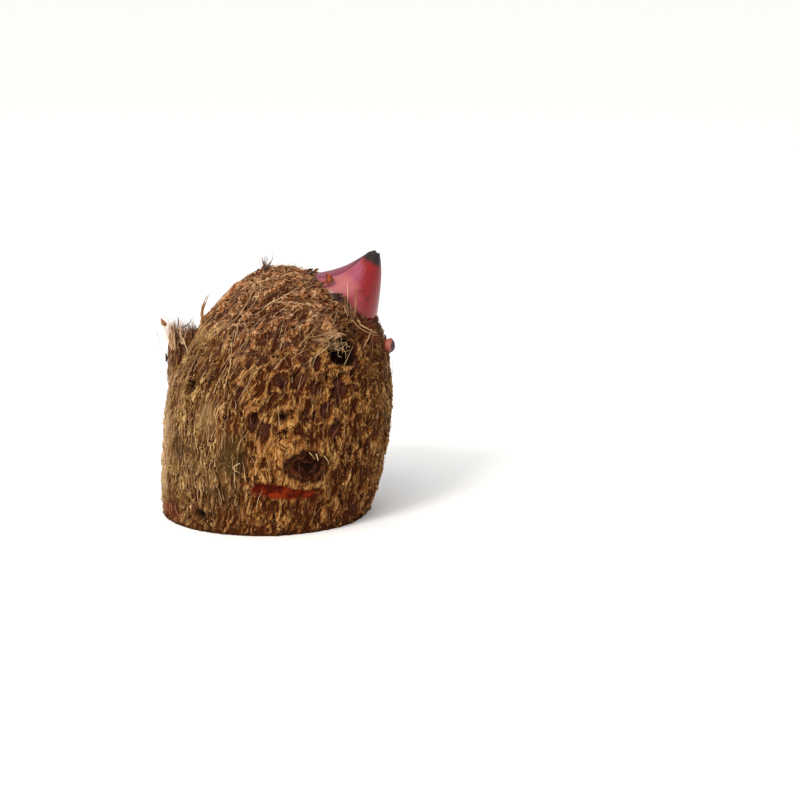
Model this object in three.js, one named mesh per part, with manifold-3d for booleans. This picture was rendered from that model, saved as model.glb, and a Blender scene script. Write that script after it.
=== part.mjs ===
// The cut crown of a taro corm, standing on its cut face, with its shoot and one side bud.
// Millimetres, +Z up. The origin is the middle of the cut face. The growth axis leaves the cut
// upright and bends towards +X, so the shoot sits on the right shoulder; -Y is the front.
import * as THREE from 'three';
import { ImprovedNoise } from 'three/addons/math/ImprovedNoise.js';
import { mergeVertices } from 'three/addons/utils/BufferGeometryUtils.js';
import Module from 'manifold-3d';

const wasm = await Module();
wasm.setup();

const { cos, sin, abs, exp, hypot, max, min, sqrt, PI } = Math;
const { smoothstep, lerp, degToRad } = THREE.MathUtils;

// Forms: each is a stack of tilted oval sections. A section runs from a point of the left
// outline to a point of the right outline, both [x, z], and is as deep as its half depth in Y.
const CORM = {
  left: [
    [-46, 0], [-46, 14], [-45.3, 30], [-43.8, 46], [-40.2, 61.8],
    [-32, 77.6], [-21, 91.6], [-8.4, 103.6], [6.8, 109.2], [22, 107.6],
  ],
  right: [
    [47, 0], [51, 11], [54.2, 23], [56.4, 35.5], [57.3, 47.5],
    [57.2, 58.5], [56.2, 68], [54.6, 75.8], [52.8, 81.4], [50.4, 85.6],
  ],
  halfDepth: [46, 47.5, 48.5, 48.8, 48.2, 46, 41.2, 34, 25.2, 17.6],
  y: 0,
};
const STUB = {
  left: [[-42, 48], [-42.8, 60], [-42.2, 70], [-41.2, 80]],
  right: [[-18, 56], [-22, 65], [-25.6, 73], [-28.2, 79.4]],
  halfDepth: [14, 12, 10, 8.8],
  y: 1,
};
const SHOOT = {
  left: [[20.8, 104.4], [24, 106.8], [30.5, 108.4], [36.4, 110.4], [41.3, 113], [44.6, 115], [46.9, 116.6]],
  right: [[47.6, 83], [50.2, 87.2], [51.4, 94.2], [52.2, 101], [52.6, 107], [52.4, 112], [51.9, 116]],
  halfDepth: [16, 15.8, 13.2, 10.2, 7.2, 4.4, 2],
  y: 0,
};

const GROWTH_LENGTH = 140; // from the cut face to the shoot, along the growth axis
const FACETS_AROUND = 84;
const FACETS_ALONG = 36;
const LEAF_SCAR_SPACING = 10.5;
const LEAF_SCAR_HEIGHT = 0.9;
const NET_WIDTH = 10.5; // of one mesh of the corky net, across and along the growth
const NET_LENGTH = 24;
const NET_HEIGHT = 1.5;
const LOBE_HEIGHT = 0.9;
const CLEARANCE = 0.3; // between parts that grew against each other
const SHEATH_THICKNESS = 1.1;
const SHEATH_TURN = [-140, 132]; // degrees round the shoot that the outer sheath covers
const STUB_CRATER = 2.5;

// Dormant eyes and old root pits in the skin: degrees round the corm (-90 is the front), share of the
// growth length, half width and half height, how deep, and how high the lip stands.
const EYES = [
  { turn: -63, at: 0.712, width: 8.2, height: 5.8, deep: 4, lip: 0.9 },
  { turn: -86, at: 0.435, width: 4.4, height: 4.2, deep: 2.6, lip: 0.9 },
  { turn: -71, at: 0.268, width: 10.5, height: 7.2, deep: 2, lip: 0.9 },
  { turn: -125, at: 0.07, width: 3.4, height: 3.2, deep: 2, lip: 0.6 },
  { turn: -142, at: 0.458, width: 3.4, height: 4.4, deep: 2.2, lip: 0.6 },
  { turn: 22, at: 0.5, width: 6.5, height: 5, deep: 2.2, lip: 1 },
  { turn: 96, at: 0.3, width: 9, height: 6.4, deep: 2.2, lip: 1.2 },
  { turn: 142, at: 0.6, width: 6, height: 4.6, deep: 2.2, lip: 0.9 },
  { turn: 60, at: 0.74, width: 5.4, height: 4, deep: 2, lip: 0.9 },
];
// A nick that took the skin off: from one end to the other round the front, low down.
const NICK = { from: -104, to: -61.6, at: 0.174, halfHeight: 3.2, deep: 1.3 };

const CORK = new THREE.MeshStandardMaterial({ color: '#86572f', roughness: 0.9, metalness: 0 });
const SHEATH_PINK = new THREE.MeshStandardMaterial({ color: '#a8444a', roughness: 0.35, metalness: 0 });
const LEAF_PURPLE = new THREE.MeshStandardMaterial({ color: '#7c4454', roughness: 0.4, metalness: 0 });
const BUD_PINK = new THREE.MeshStandardMaterial({ color: '#b56a5c', roughness: 0.45, metalness: 0 });

const noise = new ImprovedNoise();

// A repeatable run of numbers from 0 to 1.
function seeded(seed) {
  let state = seed;
  return () => {
    state = (state + 0x6d2b79f5) | 0;
    let mixed = Math.imul(state ^ (state >>> 15), 1 | state);
    mixed = (mixed + Math.imul(mixed ^ (mixed >>> 7), 61 | mixed)) ^ mixed;
    return ((mixed ^ (mixed >>> 14)) >>> 0) / 4294967296;
  };
}

function spline(pairs) {
  return new THREE.SplineCurve(pairs.map(([x, z]) => new THREE.Vector2(x, z)));
}

// Turns a form's lists into curves that can be asked for a section anywhere.
function shaped({ left, right, halfDepth, y }) {
  return { left: spline(left), right: spline(right), depth: spline(halfDepth.map((d) => [d, 0])), y };
}

// The point of a form at an angle round its section, at a share of its length, grown outwards.
function pointOn(form, angle, share, grown = 0) {
  const left = form.left.getPoint(share);
  const right = form.right.getPoint(share);
  const middle = left.clone().add(right).multiplyScalar(0.5);
  const half = right.sub(left).multiplyScalar(0.5);
  half.setLength(max(0.15, half.length() + grown));
  const depth = max(0.15, form.depth.getPoint(share).x + grown);
  return new THREE.Vector3(
    middle.x + half.x * cos(angle),
    form.y + depth * sin(angle),
    middle.y + half.y * cos(angle),
  );
}

// The outward normal of a form's surface, and the way along the growth there.
function frameOn(form, angle, share) {
  const step = 1e-3;
  const around = pointOn(form, angle + step, share).sub(pointOn(form, angle - step, share));
  const along = pointOn(form, angle, min(1, share + step)).sub(pointOn(form, angle, max(0, share - step)));
  return { normal: around.clone().cross(along).normalize(), along: along.normalize() };
}

// A closed body from rings of points, each as long as the last, with a point to close each end.
function closedStack(rings, foot, crown) {
  const count = rings[0].length;
  const places = [...rings.flat(), foot, crown].flatMap((p) => [p.x, p.y, p.z]);
  const footIndex = rings.length * count;
  const faces = [];
  for (let i = 0; i < count; i++) {
    const next = (i + 1) % count;
    faces.push(footIndex, next, i);
    for (let k = 0; k < rings.length - 1; k++) {
      const a = k * count + i;
      const b = k * count + next;
      faces.push(a, b, b + count, a, b + count, a + count);
    }
    const top = (rings.length - 1) * count;
    faces.push(footIndex + 1, top + i, top + next);
  }
  return new THREE.BufferGeometry()
    .setAttribute('position', new THREE.Float32BufferAttribute(places, 3))
    .setIndex(faces);
}

// A closed curved plate between an outer and an inner face, each a function of two shares.
function curvedPlate(across, up, outer, inner) {
  const places = [];
  const faces = [];
  const row = across + 1;
  const inside = row * (up + 1);
  for (const face of [outer, inner]) {
    for (let j = 0; j <= up; j++) {
      for (let i = 0; i <= across; i++) places.push(...face(i / across, j / up).toArray());
    }
  }
  const quad = (a, b, c, d) => faces.push(a, b, c, a, c, d);
  for (let j = 0; j < up; j++) {
    for (let i = 0; i < across; i++) {
      const a = j * row + i;
      quad(a, a + 1, a + 1 + row, a + row);
      quad(inside + a + row, inside + a + 1 + row, inside + a + 1, inside + a);
    }
    const first = j * row;
    const last = first + across;
    quad(first, first + row, inside + first + row, inside + first);
    quad(inside + last, inside + last + row, last + row, last);
  }
  for (let i = 0; i < across; i++) {
    const top = up * row + i;
    quad(i + 1, i, inside + i, inside + i + 1);
    quad(top, top + 1, inside + top + 1, inside + top);
  }
  return new THREE.BufferGeometry()
    .setAttribute('position', new THREE.Float32BufferAttribute(places, 3))
    .setIndex(faces);
}

function solid(geometry) {
  const bare = geometry.clone();
  bare.deleteAttribute('normal');
  bare.deleteAttribute('uv');
  const merged = mergeVertices(bare, 1e-4);
  return new wasm.Manifold(new wasm.Mesh({
    numProp: 3,
    vertProperties: merged.attributes.position.array,
    triVerts: new Uint32Array(merged.index.array),
  }));
}

function geometryOf(manifold) {
  const { vertProperties, triVerts } = manifold.getMesh();
  return new THREE.BufferGeometry()
    .setAttribute('position', new THREE.BufferAttribute(vertProperties, 3))
    .setIndex(new THREE.BufferAttribute(triVerts, 1));
}

// The largest of a solid's separate bodies, without the crumbs that a cut can leave.
function largestBody(manifold) {
  return manifold.decompose().sort((a, b) => b.volume() - a.volume())[0];
}

// The corky net: 1 on the crest of its threads, 0 in its meshes. It is drawn on the corm as if
// the corm were straight, so that its threads follow the growth up to the shoot.
function net(radius, angle, share) {
  const x = (radius * cos(angle)) / NET_WIDTH;
  const y = (radius * sin(angle)) / NET_WIDTH;
  const z = (share * GROWTH_LENGTH) / NET_LENGTH;
  const broad = noise.noise(x + 3.3, y + 1.7, z + 5.1);
  const fine = noise.noise(2 * x + 9.4, 2 * y + 4.2, 2 * z + 2.6);
  return 1 - min(1, 3.2 * abs(broad + 0.35 * fine));
}

// The scars of fallen leaves: rings with a slow rise and a quick fall, closer together and
// plainer towards the shoot.
function leafScar(angle, share) {
  const spacing = lerp(LEAF_SCAR_SPACING, 0.55 * LEAF_SCAR_SPACING, share);
  const wander = 1.6 * sin(2 * angle + 0.7) + 0.9 * sin(5 * angle + 2);
  const turn = (share * GROWTH_LENGTH + wander) / spacing;
  const phase = turn - Math.floor(turn);
  return lerp(0.45, 1, share) * (phase < 0.75 ? phase / 0.75 : (1 - phase) / 0.25);
}

// How far an eye pushes the skin at a point: down into the pit, and up at the lip round it.
function eyePush(eye, point) {
  const angle = degToRad(eye.turn);
  const middle = pointOn(corm, angle, eye.at);
  const { normal, along } = frameOn(corm, angle, eye.at);
  const across = along.clone().cross(normal);
  const offset = point.clone().sub(middle);
  const reach = hypot(offset.dot(across) / eye.width, offset.dot(along) / eye.height);
  const pit = 1 - smoothstep(reach, 0, 1);
  return eye.lip * exp(-(((reach - 1.15) / 0.35) ** 2)) - eye.deep * pit;
}

function nickPush(angle, share) {
  const turn = THREE.MathUtils.radToDeg(angle);
  const middle = (NICK.from + NICK.to) / 2;
  const across = (turn - middle) / ((NICK.to - NICK.from) / 2);
  const up = ((share - NICK.at) * GROWTH_LENGTH) / (NICK.halfHeight * sqrt(max(0.05, 1 - across * across)));
  return abs(across) < 1 ? -NICK.deep * (1 - smoothstep(abs(up), 0.6, 1.1)) : 0;
}

const corm = shaped(CORM);
const stub = shaped(STUB);
const shoot = shaped(SHOOT);

// How much relief there is room for: less on the right, where the growth is crowded together.
function reliefRoom(angle, share) {
  const step = 0.02;
  const from = pointOn(corm, angle, max(0, share - step));
  const length = from.distanceTo(pointOn(corm, angle, min(1, share + step)));
  return smoothstep(length / (2 * step * GROWTH_LENGTH), 0.05, 0.8);
}

// The skin of the corm at an angle from -PI to PI and a share of the growth length.
function skinPoint(angle, share) {
  const base = pointOn(corm, angle, share);
  const { normal } = frameOn(corm, angle, share);
  const middle = pointOn(corm, 0, share).add(pointOn(corm, PI, share)).multiplyScalar(0.5);
  const radius = base.distanceTo(middle);
  const calm = (1 - smoothstep(share, 0.9, 0.97)) * reliefRoom(angle, share);
  let push = LOBE_HEIGHT * (sin(3 * angle + 4 * share) + 0.6 * sin(5 * angle - 6 * share + 1));
  push += NET_HEIGHT * net(radius, angle, share) + LEAF_SCAR_HEIGHT * leafScar(angle, share);
  push = calm * (push - 1.2) + nickPush(angle, share);
  for (const eye of EYES) push += eyePush(eye, base);
  if (share === 0) normal.setZ(0).normalize(); // the cut face stays flat
  return base.addScaledVector(normal, push);
}

function skinRings() {
  const rings = [];
  for (let k = 0; k <= FACETS_ALONG; k++) {
    const ring = [];
    for (let i = 0; i < FACETS_AROUND; i++) {
      ring.push(skinPoint((i / FACETS_AROUND) * 2 * PI - PI, k / FACETS_ALONG));
    }
    rings.push(ring);
  }
  return rings;
}

function cormBody() {
  const crown = pointOn(corm, 0, 1).add(pointOn(corm, PI, 1)).multiplyScalar(0.5);
  return solid(closedStack(skinRings(), new THREE.Vector3(0, 0, 0), crown));
}

// Rings of a plain form between two shares of its length.
function plainRings(form, facets, shares, grown) {
  return shares.map((share) => {
    const ring = [];
    for (let i = 0; i < facets; i++) {
      const angle = (i / facets) * 2 * PI;
      ring.push(pointOn(form, angle, share, grown(angle, share)));
    }
    return ring;
  });
}

function evenShares(count, from = 0, to = 1) {
  return Array.from({ length: count + 1 }, (_, i) => lerp(from, to, i / count));
}

function middleOf(ring) {
  return ring.reduce((sum, p) => sum.add(p), new THREE.Vector3()).divideScalar(ring.length);
}

// The broken neck of a side corm on the left shoulder, hollowed at its top.
function stubBody() {
  const ribs = (angle, share) => 0.6 * sin(7 * angle + 3 * share) + 0.4 * sin(11 * angle);
  const rings = plainRings(stub, 30, evenShares(8), ribs);
  const crater = middleOf(rings.at(-1)).add(new THREE.Vector3(0.3, 0, -STUB_CRATER));
  return solid(closedStack(rings, middleOf(rings[0]), crater));
}

// One stiff dry fibre or strip: a four-sided spike that starts under the skin and curves away.
function spike(root, way, length, width, bend) {
  const side = new THREE.Vector3(0, 1, 0).cross(way).normalize();
  const flat = way.clone().cross(side).normalize();
  const start = root.clone().addScaledVector(way, -2);
  const curve = new THREE.QuadraticBezierCurve3(
    start,
    root.clone().addScaledVector(way, length * 0.55),
    root.clone().addScaledVector(way, length).addScaledVector(bend, length * 0.35),
  );
  const rings = [0, 0.4, 0.8].map((share) => {
    const middle = curve.getPoint(share);
    const half = 0.5 * width * (1 - 0.45 * share);
    return [0, 1, 2, 3].map((quarter) => {
      const angle = (quarter * PI) / 2;
      return middle.clone()
        .addScaledVector(side, half * cos(angle))
        .addScaledVector(flat, 0.6 * half * sin(angle));
    });
  });
  return solid(closedStack(rings, middleOf(rings[0]), curve.getPoint(1)));
}

// Frayed fibres that stand round the broken top of the stub.
function stubFray() {
  const random = seeded(11);
  const count = 16;
  return Array.from({ length: count }, (_, i) => {
    const angle = ((i + 0.6 * random()) / count) * 2 * PI;
    const root = pointOn(stub, angle, 0.96, -1.1);
    const out = new THREE.Vector3(cos(angle), sin(angle), 0);
    const way = new THREE.Vector3(0, 0, 1).addScaledVector(out, 0.1 + 0.35 * random()).normalize();
    return spike(root, way, 3.5 + 4 * random(), 1.5, out);
  });
}

// The ragged bases of old leaves, which stand round the foot of the shoot.
function leafBases() {
  const random = seeded(23);
  const count = 24;
  return Array.from({ length: count }, (_, i) => {
    const angle = ((i + 0.7 * random()) / count) * 2 * PI;
    const root = pointOn(corm, angle, 0.975, -0.6);
    const { normal, along } = frameOn(corm, angle, 0.94);
    const way = along.multiplyScalar(0.75).addScaledVector(normal, 0.5).normalize();
    return spike(root, way, 2.4 + 1.8 * random(), 2, normal);
  });
}

// The tuft on the highest point of the dome.
function crownTuft() {
  const random = seeded(37);
  return Array.from({ length: 6 }, () => {
    const angle = degToRad(-178 + 22 * random());
    const share = 0.85 + 0.03 * random();
    const { normal } = frameOn(corm, angle, share);
    const lean = new THREE.Vector3(-0.5 + 0.9 * random(), -0.3 + 0.6 * random(), 0.8);
    return spike(pointOn(corm, angle, share), normal.add(lean).normalize(), 4 + 2 * random(), 1.3, lean);
  });
}

// Two single strips that stand clear: one beside the stub, and one before the shoot.
function looseStrips() {
  const shoulder = pointOn(corm, degToRad(-172), 0.635);
  const brow = pointOn(corm, degToRad(-62), 0.955);
  return [
    spike(shoulder, new THREE.Vector3(-0.08, 0, 1).normalize(), 14, 2, new THREE.Vector3(0.55, 0, 0)),
    spike(brow, new THREE.Vector3(-0.1, -0.5, 0.86).normalize(), 13, 1.4, new THREE.Vector3(0.1, -0.1, 0)),
  ];
}

// What the shoot's foot leaves in the top of the corm, wider than the foot by the clearance.
function shootSocket() {
  const shares = evenShares(6, -0.05, 0.4);
  const rings = plainRings(shoot, 36, shares.map((s) => max(0, s)), () => CLEARANCE);
  const down = rings[1].map((p, i) => rings[0][i].clone().sub(p.clone().sub(rings[0][i]).setLength(0.4)));
  rings[0] = down;
  return solid(closedStack(rings, middleOf(rings[0]), middleOf(rings.at(-1))));
}

// A little bud on the right flank: an egg with its point up, which can be grown for its socket.
function budEgg(grown) {
  const profile = new THREE.SplineCurve([
    new THREE.Vector2(0, -3.2 - grown),
    new THREE.Vector2(2.2 + grown, -2),
    new THREE.Vector2(2.9 + grown, 0.2),
    new THREE.Vector2(1.9 + grown, 2.6),
    new THREE.Vector2(0, 4 + grown),
  ]).getPoints(8).map((p) => new THREE.Vector2(max(0, p.x), p.y));
  const egg = new THREE.LatheGeometry(profile, 16);
  egg.rotateX(PI / 2);
  egg.rotateY(degToRad(20));
  egg.translate(55.6, -5, 75.2);
  return solid(egg);
}

function cormSolid() {
  let whole = cormBody().add(stubBody());
  for (const part of [...stubFray(), ...leafBases(), ...crownTuft(), ...looseStrips()]) whole = whole.add(part);
  return largestBody(whole.subtract(shootSocket()).subtract(budEgg(CLEARANCE)));
}

function sheathThickness(share) {
  return lerp(SHEATH_THICKNESS, 0.65, share);
}

// The outer sheath: a thin wrap, open at the upper left, with a torn rim at the tip.
function sheathPlate() {
  const [from, to] = SHEATH_TURN.map(degToRad);
  const tear = (angle) => 1 - 0.035 * (1 + sin(3 * angle + 0.5));
  const face = (grown) => (u, v) => {
    const angle = lerp(from, to, u);
    const share = v * tear(angle);
    return pointOn(shoot, angle, share, grown(share));
  };
  return curvedPlate(30, 11, face(() => 0), face((share) => -sheathThickness(share)));
}

// The rolled leaf inside the sheath. It fills the sheath, and swells out where the sheath is open.
function rolledLeaf() {
  const [from, to] = SHEATH_TURN.map(degToRad);
  const grown = (angle, share) => {
    const turned = angle > PI ? angle - 2 * PI : angle;
    const pastEdge = turned > 0 ? turned - to : from - turned;
    const open = smoothstep(pastEdge, degToRad(4), degToRad(16));
    return lerp(-sheathThickness(share) - CLEARANCE, -0.35, open);
  };
  const rings = plainRings(shoot, 36, evenShares(10, 0.02, 0.97), grown);
  return closedStack(rings, middleOf(rings[0]), middleOf(rings.at(-1)).add(new THREE.Vector3(0.6, 0, 1.6)));
}

function named(name, geometry, material) {
  const mesh = new THREE.Mesh(geometry, material);
  mesh.name = name;
  geometry.computeVertexNormals();
  return mesh;
}

const taro = new THREE.Group();
taro.add(named('corm', geometryOf(cormSolid()), CORK));
taro.add(named('shoot_sheath', sheathPlate(), SHEATH_PINK));
taro.add(named('shoot_leaf', rolledLeaf(), LEAF_PURPLE));
taro.add(named('side_bud', geometryOf(budEgg(0)), BUD_PINK));

export default taro;
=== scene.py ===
"""The crown half of a taro corm, standing on its cut face, with its shoot and a side bud."""

import math

import bpy
import numpy as np
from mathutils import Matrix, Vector


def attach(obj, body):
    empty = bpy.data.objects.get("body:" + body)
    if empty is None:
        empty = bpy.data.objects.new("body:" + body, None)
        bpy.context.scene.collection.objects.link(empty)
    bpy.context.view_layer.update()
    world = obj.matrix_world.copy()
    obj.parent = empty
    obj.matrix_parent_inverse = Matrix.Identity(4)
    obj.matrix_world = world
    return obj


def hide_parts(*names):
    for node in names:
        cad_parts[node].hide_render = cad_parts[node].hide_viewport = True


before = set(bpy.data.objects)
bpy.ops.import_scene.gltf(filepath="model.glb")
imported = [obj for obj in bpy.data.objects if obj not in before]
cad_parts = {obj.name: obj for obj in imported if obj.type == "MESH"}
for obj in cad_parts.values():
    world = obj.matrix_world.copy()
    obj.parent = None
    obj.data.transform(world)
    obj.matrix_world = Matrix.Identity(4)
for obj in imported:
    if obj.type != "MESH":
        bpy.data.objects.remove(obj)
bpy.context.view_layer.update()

MM = 0.001

# Forms, in millimetres: stacks of tilted oval sections. A section runs from a point of the left
# outline to a point of the right outline, both (x, z), and is as deep as its half depth in Y.
CORM = {
    "left": [(-46, 0), (-46, 14), (-45.3, 30), (-43.8, 46), (-40.2, 61.8),
             (-32, 77.6), (-21, 91.6), (-8.4, 103.6), (6.8, 109.2), (22, 107.6)],
    "right": [(47, 0), (51, 11), (54.2, 23), (56.4, 35.5), (57.3, 47.5),
              (57.2, 58.5), (56.2, 68), (54.6, 75.8), (52.8, 81.4), (50.4, 85.6)],
    "half_depth": [46, 47.5, 48.5, 48.8, 48.2, 46, 41.2, 34, 25.2, 17.6],
    "y": 0.0,
}
STUB = {
    "left": [(-42, 48), (-42.8, 60), (-42.2, 70), (-41.2, 80)],
    "right": [(-18, 56), (-22, 65), (-25.6, 73), (-28.2, 79.4)],
    "half_depth": [14, 12, 10, 8.8],
    "y": 1.0,
}
SHOOT = {
    "left": [(20.8, 104.4), (24, 106.8), (30.5, 108.4), (36.4, 110.4), (41.3, 113),
             (44.6, 115), (46.9, 116.6)],
    "right": [(47.6, 83), (50.2, 87.2), (51.4, 94.2), (52.2, 101), (52.6, 107),
              (52.4, 112), (51.9, 116)],
    "half_depth": [16, 15.8, 13.2, 10.2, 7.2, 4.4, 2],
    "y": 0.0,
}
GROWTH_LENGTH = 140.0  # from the cut face to the shoot, along the growth axis
LEAST_HALF = 0.15  # half the width of the narrowest section

# Dormant eyes and old root pits: degrees round the corm (-90 is the front), share of the growth
# length, half width and half height, how deep, and how high the lip stands, in millimetres, and
# shares of the way out where the wall and the dark of the hollow begin and end.
EYES = [
    {"turn": -63, "at": 0.714, "width": 7.8, "height": 6.4, "deep": 5.0, "lip": 0.9,
     "wall": (0.55, 1.0), "dark": (0.88, 1.08)},
    {"turn": -86, "at": 0.435, "width": 4.4, "height": 4.2, "deep": 2.6, "lip": 0.9},
    {"turn": -71, "at": 0.268, "width": 10.5, "height": 7.2, "deep": 2.0, "lip": 0.9,
     "wall": (0.0, 0.9), "dark": (0.0, 0.6)},
    {"turn": -125, "at": 0.07, "width": 3.4, "height": 3.2, "deep": 2.0, "lip": 0.6, "dark": (0.3, 1.0)},
    {"turn": -142, "at": 0.458, "width": 3.4, "height": 4.4, "deep": 2.2, "lip": 0.6, "dark": (0.3, 1.0)},
    {"turn": 22, "at": 0.5, "width": 6.5, "height": 5.0, "deep": 2.2, "lip": 1.0},
    {"turn": 96, "at": 0.3, "width": 9.0, "height": 6.4, "deep": 2.2, "lip": 1.0,
     "wall": (0.0, 0.9), "dark": (0.0, 0.6)},
    {"turn": 142, "at": 0.6, "width": 6.0, "height": 4.6, "deep": 2.4, "lip": 0.9},
    {"turn": 60, "at": 0.74, "width": 5.4, "height": 4.0, "deep": 2.2, "lip": 0.9},
]
BUD_SCAR = 2  # the eye that shows as rings round a dead bud
NICK = {"turn": -82.8, "at": 0.174, "width": 17.8, "height": 3.2, "deep": 1.2, "tilt": -1.0}


def hex_colour(code):
    """A linear RGBA colour from an sRGB hex code."""
    parts = [int(code[i:i + 2], 16) / 255 for i in (1, 3, 5)]
    return (*[p / 12.92 if p <= 0.04045 else ((p + 0.055) / 1.055) ** 2.4 for p in parts], 1.0)


def spline(points, share):
    """Points of a smooth curve through the given ones, at shares of its length."""
    points = np.asarray(points, float).reshape(len(points), -1)
    last = len(points) - 1
    at = np.clip(np.asarray(share, float), 0, 1) * last
    knot = np.minimum(at.astype(int), last)
    t = (at - knot)[..., None]
    before, start = points[np.maximum(knot - 1, 0)], points[knot]
    end, after = points[np.minimum(knot + 1, last)], points[np.minimum(knot + 2, last)]
    leave, arrive = (end - before) / 2, (after - start) / 2
    cubic = 2 * start - 2 * end + leave + arrive
    square = 3 * end - 3 * start - 2 * leave - arrive
    return ((cubic * t + square) * t + leave) * t + start


def on_form(form, turn, share, grown=0.0):
    """Points of a form, in millimetres, at angles round it and shares of its length."""
    turn, share, grown = np.broadcast_arrays(turn, share, grown)
    left, right = spline(form["left"], share), spline(form["right"], share)
    middle, half = (left + right) / 2, (right - left) / 2
    length = np.linalg.norm(half, axis=-1)
    half = half * (np.maximum(LEAST_HALF, length + grown) / length)[..., None]
    depth = np.maximum(LEAST_HALF, spline(form["half_depth"], share)[..., 0] + grown)
    x = middle[..., 0] + half[..., 0] * np.cos(turn)
    z = middle[..., 1] + half[..., 1] * np.cos(turn)
    return np.stack([x, form["y"] + depth * np.sin(turn), z], -1)


def unit(vectors):
    return vectors / np.maximum(np.linalg.norm(vectors, axis=-1, keepdims=True), 1e-12)


def frame_on(form, turn, share):
    """The outward normal, the way along the growth and its stretch, at places on a form."""
    step = 1e-3
    around = on_form(form, turn + step, share) - on_form(form, turn - step, share)
    upper, lower = np.minimum(share + step, 1), np.maximum(share - step, 0)
    along = on_form(form, turn, upper) - on_form(form, turn, lower)
    stretch = np.linalg.norm(along, axis=-1) / (upper - lower)
    return unit(np.cross(around, along)), unit(along), stretch


def smooth(value, low, high):
    t = np.clip((value - low) / (high - low), 0, 1)
    return t * t * (3 - 2 * t)


def ring_faces(rows, around):
    """Four-sided faces between closed rings, and the two fans that close the ends."""
    index = np.arange(rows * around).reshape(rows, around)
    beside = np.roll(index, -1, 1)
    sides = np.stack([index[:-1], beside[:-1], beside[1:], index[1:]], -1).reshape(-1, 4)
    foot, crown = rows * around, rows * around + 1
    fans = [(foot, b, a) for a, b in zip(index[0], beside[0])]
    fans += [(crown, a, b) for a, b in zip(index[-1], beside[-1])]
    return sides.tolist() + fans


def ring_grid(around, along, low, high):
    """Angles right round and shares from low to high, as two grids with a ring in each row."""
    turns = np.linspace(-math.pi, math.pi, around, endpoint=False)
    return np.meshgrid(turns, np.linspace(low, high, along))


def placed(name, data):
    """An object in the scene that holds a mesh, a lamp or a camera."""
    made = bpy.data.objects.new(name, data)
    bpy.context.scene.collection.objects.link(made)
    return made


def build(name, points_mm, faces):
    """A smooth mesh object from points in millimetres."""
    mesh = bpy.data.meshes.new(name)
    mesh.from_pydata((np.asarray(points_mm) * MM).tolist(), [], faces)
    mesh.validate()
    mesh.polygons.foreach_set("use_smooth", np.full(len(mesh.polygons), True))
    return placed(name, mesh)


def store(piece, name, values):
    """Keeps a number or a vector for each point of a mesh."""
    values = np.asarray(values, np.float32)
    kind, field = ("FLOAT_VECTOR", "vector") if values.ndim == 2 else ("FLOAT", "value")
    attribute = piece.data.attributes.new(name, kind, "POINT")
    attribute.data.foreach_set(field, values.ravel())


def add(tree, kind, ins=None, out=0, **settings):
    """Adds a node with its settings, sets or links its inputs, and returns one of its outputs."""
    made = tree.nodes.new(kind)
    for name, value in settings.items():
        setattr(made, name, value)
    for key, value in (ins or {}).items():
        if isinstance(value, bpy.types.NodeSocket):
            tree.links.new(value, made.inputs[key])
        else:
            made.inputs[key].default_value = value
    return made.outputs[out] if made.outputs else made


def new_tree(name, rows):
    """A Geometry Nodes tree with named inputs: the tree, its input sockets and their identifiers."""
    tree = bpy.data.node_groups.new(name, "GeometryNodeTree")
    tree.interface.new_socket(name="Geometry", in_out="INPUT", socket_type="NodeSocketGeometry")
    tree.interface.new_socket(name="Geometry", in_out="OUTPUT", socket_type="NodeSocketGeometry")
    keys = {}
    for label, kind, value in (*rows, ("Material", "Material", None)):
        socket = tree.interface.new_socket(name=label, in_out="INPUT", socket_type="NodeSocket" + kind)
        if value is not None:
            socket.default_value = value
        keys[label] = socket.identifier
    return tree, tree.nodes.new("NodeGroupInput").outputs, keys


def end_tree(tree, given, geometry):
    """Makes a tree's instances real, gives them the material and ends the tree."""
    whole = add(tree, "GeometryNodeRealizeInstances", {"Geometry": geometry})
    dressed = add(tree, "GeometryNodeSetMaterial", {"Geometry": whole, "Material": given["Material"]})
    add(tree, "NodeGroupOutput", {0: dressed})


def run_tree(piece, tree, keys, inputs):
    """Runs a tree on a piece and leaves a plain mesh with the same name."""
    modifier = piece.modifiers.new(tree.name, "NODES")
    modifier.node_group = tree
    for label, value in inputs.items():
        modifier[keys[label]] = value
    bpy.context.view_layer.update()
    evaluated = piece.evaluated_get(bpy.context.evaluated_depsgraph_get())
    mesh = bpy.data.meshes.new_from_object(evaluated)
    piece.modifiers.clear()
    old = piece.data
    piece.data = mesh
    bpy.data.meshes.remove(old)
    mesh.name = piece.name
    return piece


# The skin's pattern, in millimetres. It is drawn on the corm as if the corm were straight, so
# it follows the growth up to the shoot.
PATTERN_SHIFT = (31.0, 17.0, 53.0)
NET_CELL = 5.0
NET_STRETCH = 2.6
SWAY_SIZE = 13.0
SKIN_SWAY = (9.0, 9.0, 16.0)  # how far the net and the strands wander
WEAVE_SWAY = (7.0, 7.0, 0.0)
BODY_SIZE = 5.0
CRUMB_SIZE = 1.2
STRAND_WIDTH = 1.1
FINE_WIDTH = 0.9
WEAVE_WIDTH = 1.1
WEAVE_TWIST = 0.016  # radians round the corm per millimetre along it
CRACK_SPACING = 5.5
LOBE_SIZE = 24.0
# The skin differs from place to place: netted with dark patches, combed into long fibres, felted
# with crossing fibres, crusted and cracked, or sleek.
ZONES = ("netted", "combed", "felted", "crusted", "sleek")
# Indices of the colour sockets of a Mix node.
MIX_A, MIX_B, MIX_RESULT = 6, 7, 2


def between(tree, value, low, high, to=1.0):
    """A mask that grows smoothly from 0 to its full strength as a value goes from low to high."""
    return add(tree, "ShaderNodeMapRange", {"Value": value, "From Min": low, "From Max": high, "To Max": to},
               interpolation_type="SMOOTHSTEP")


def summed(tree, start, parts):
    """A start value plus other values, each times its share."""
    for value, share in parts:
        start = add(tree, "ShaderNodeMath", {0: value, 1: share, 2: start}, operation="MULTIPLY_ADD")
    return start


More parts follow.
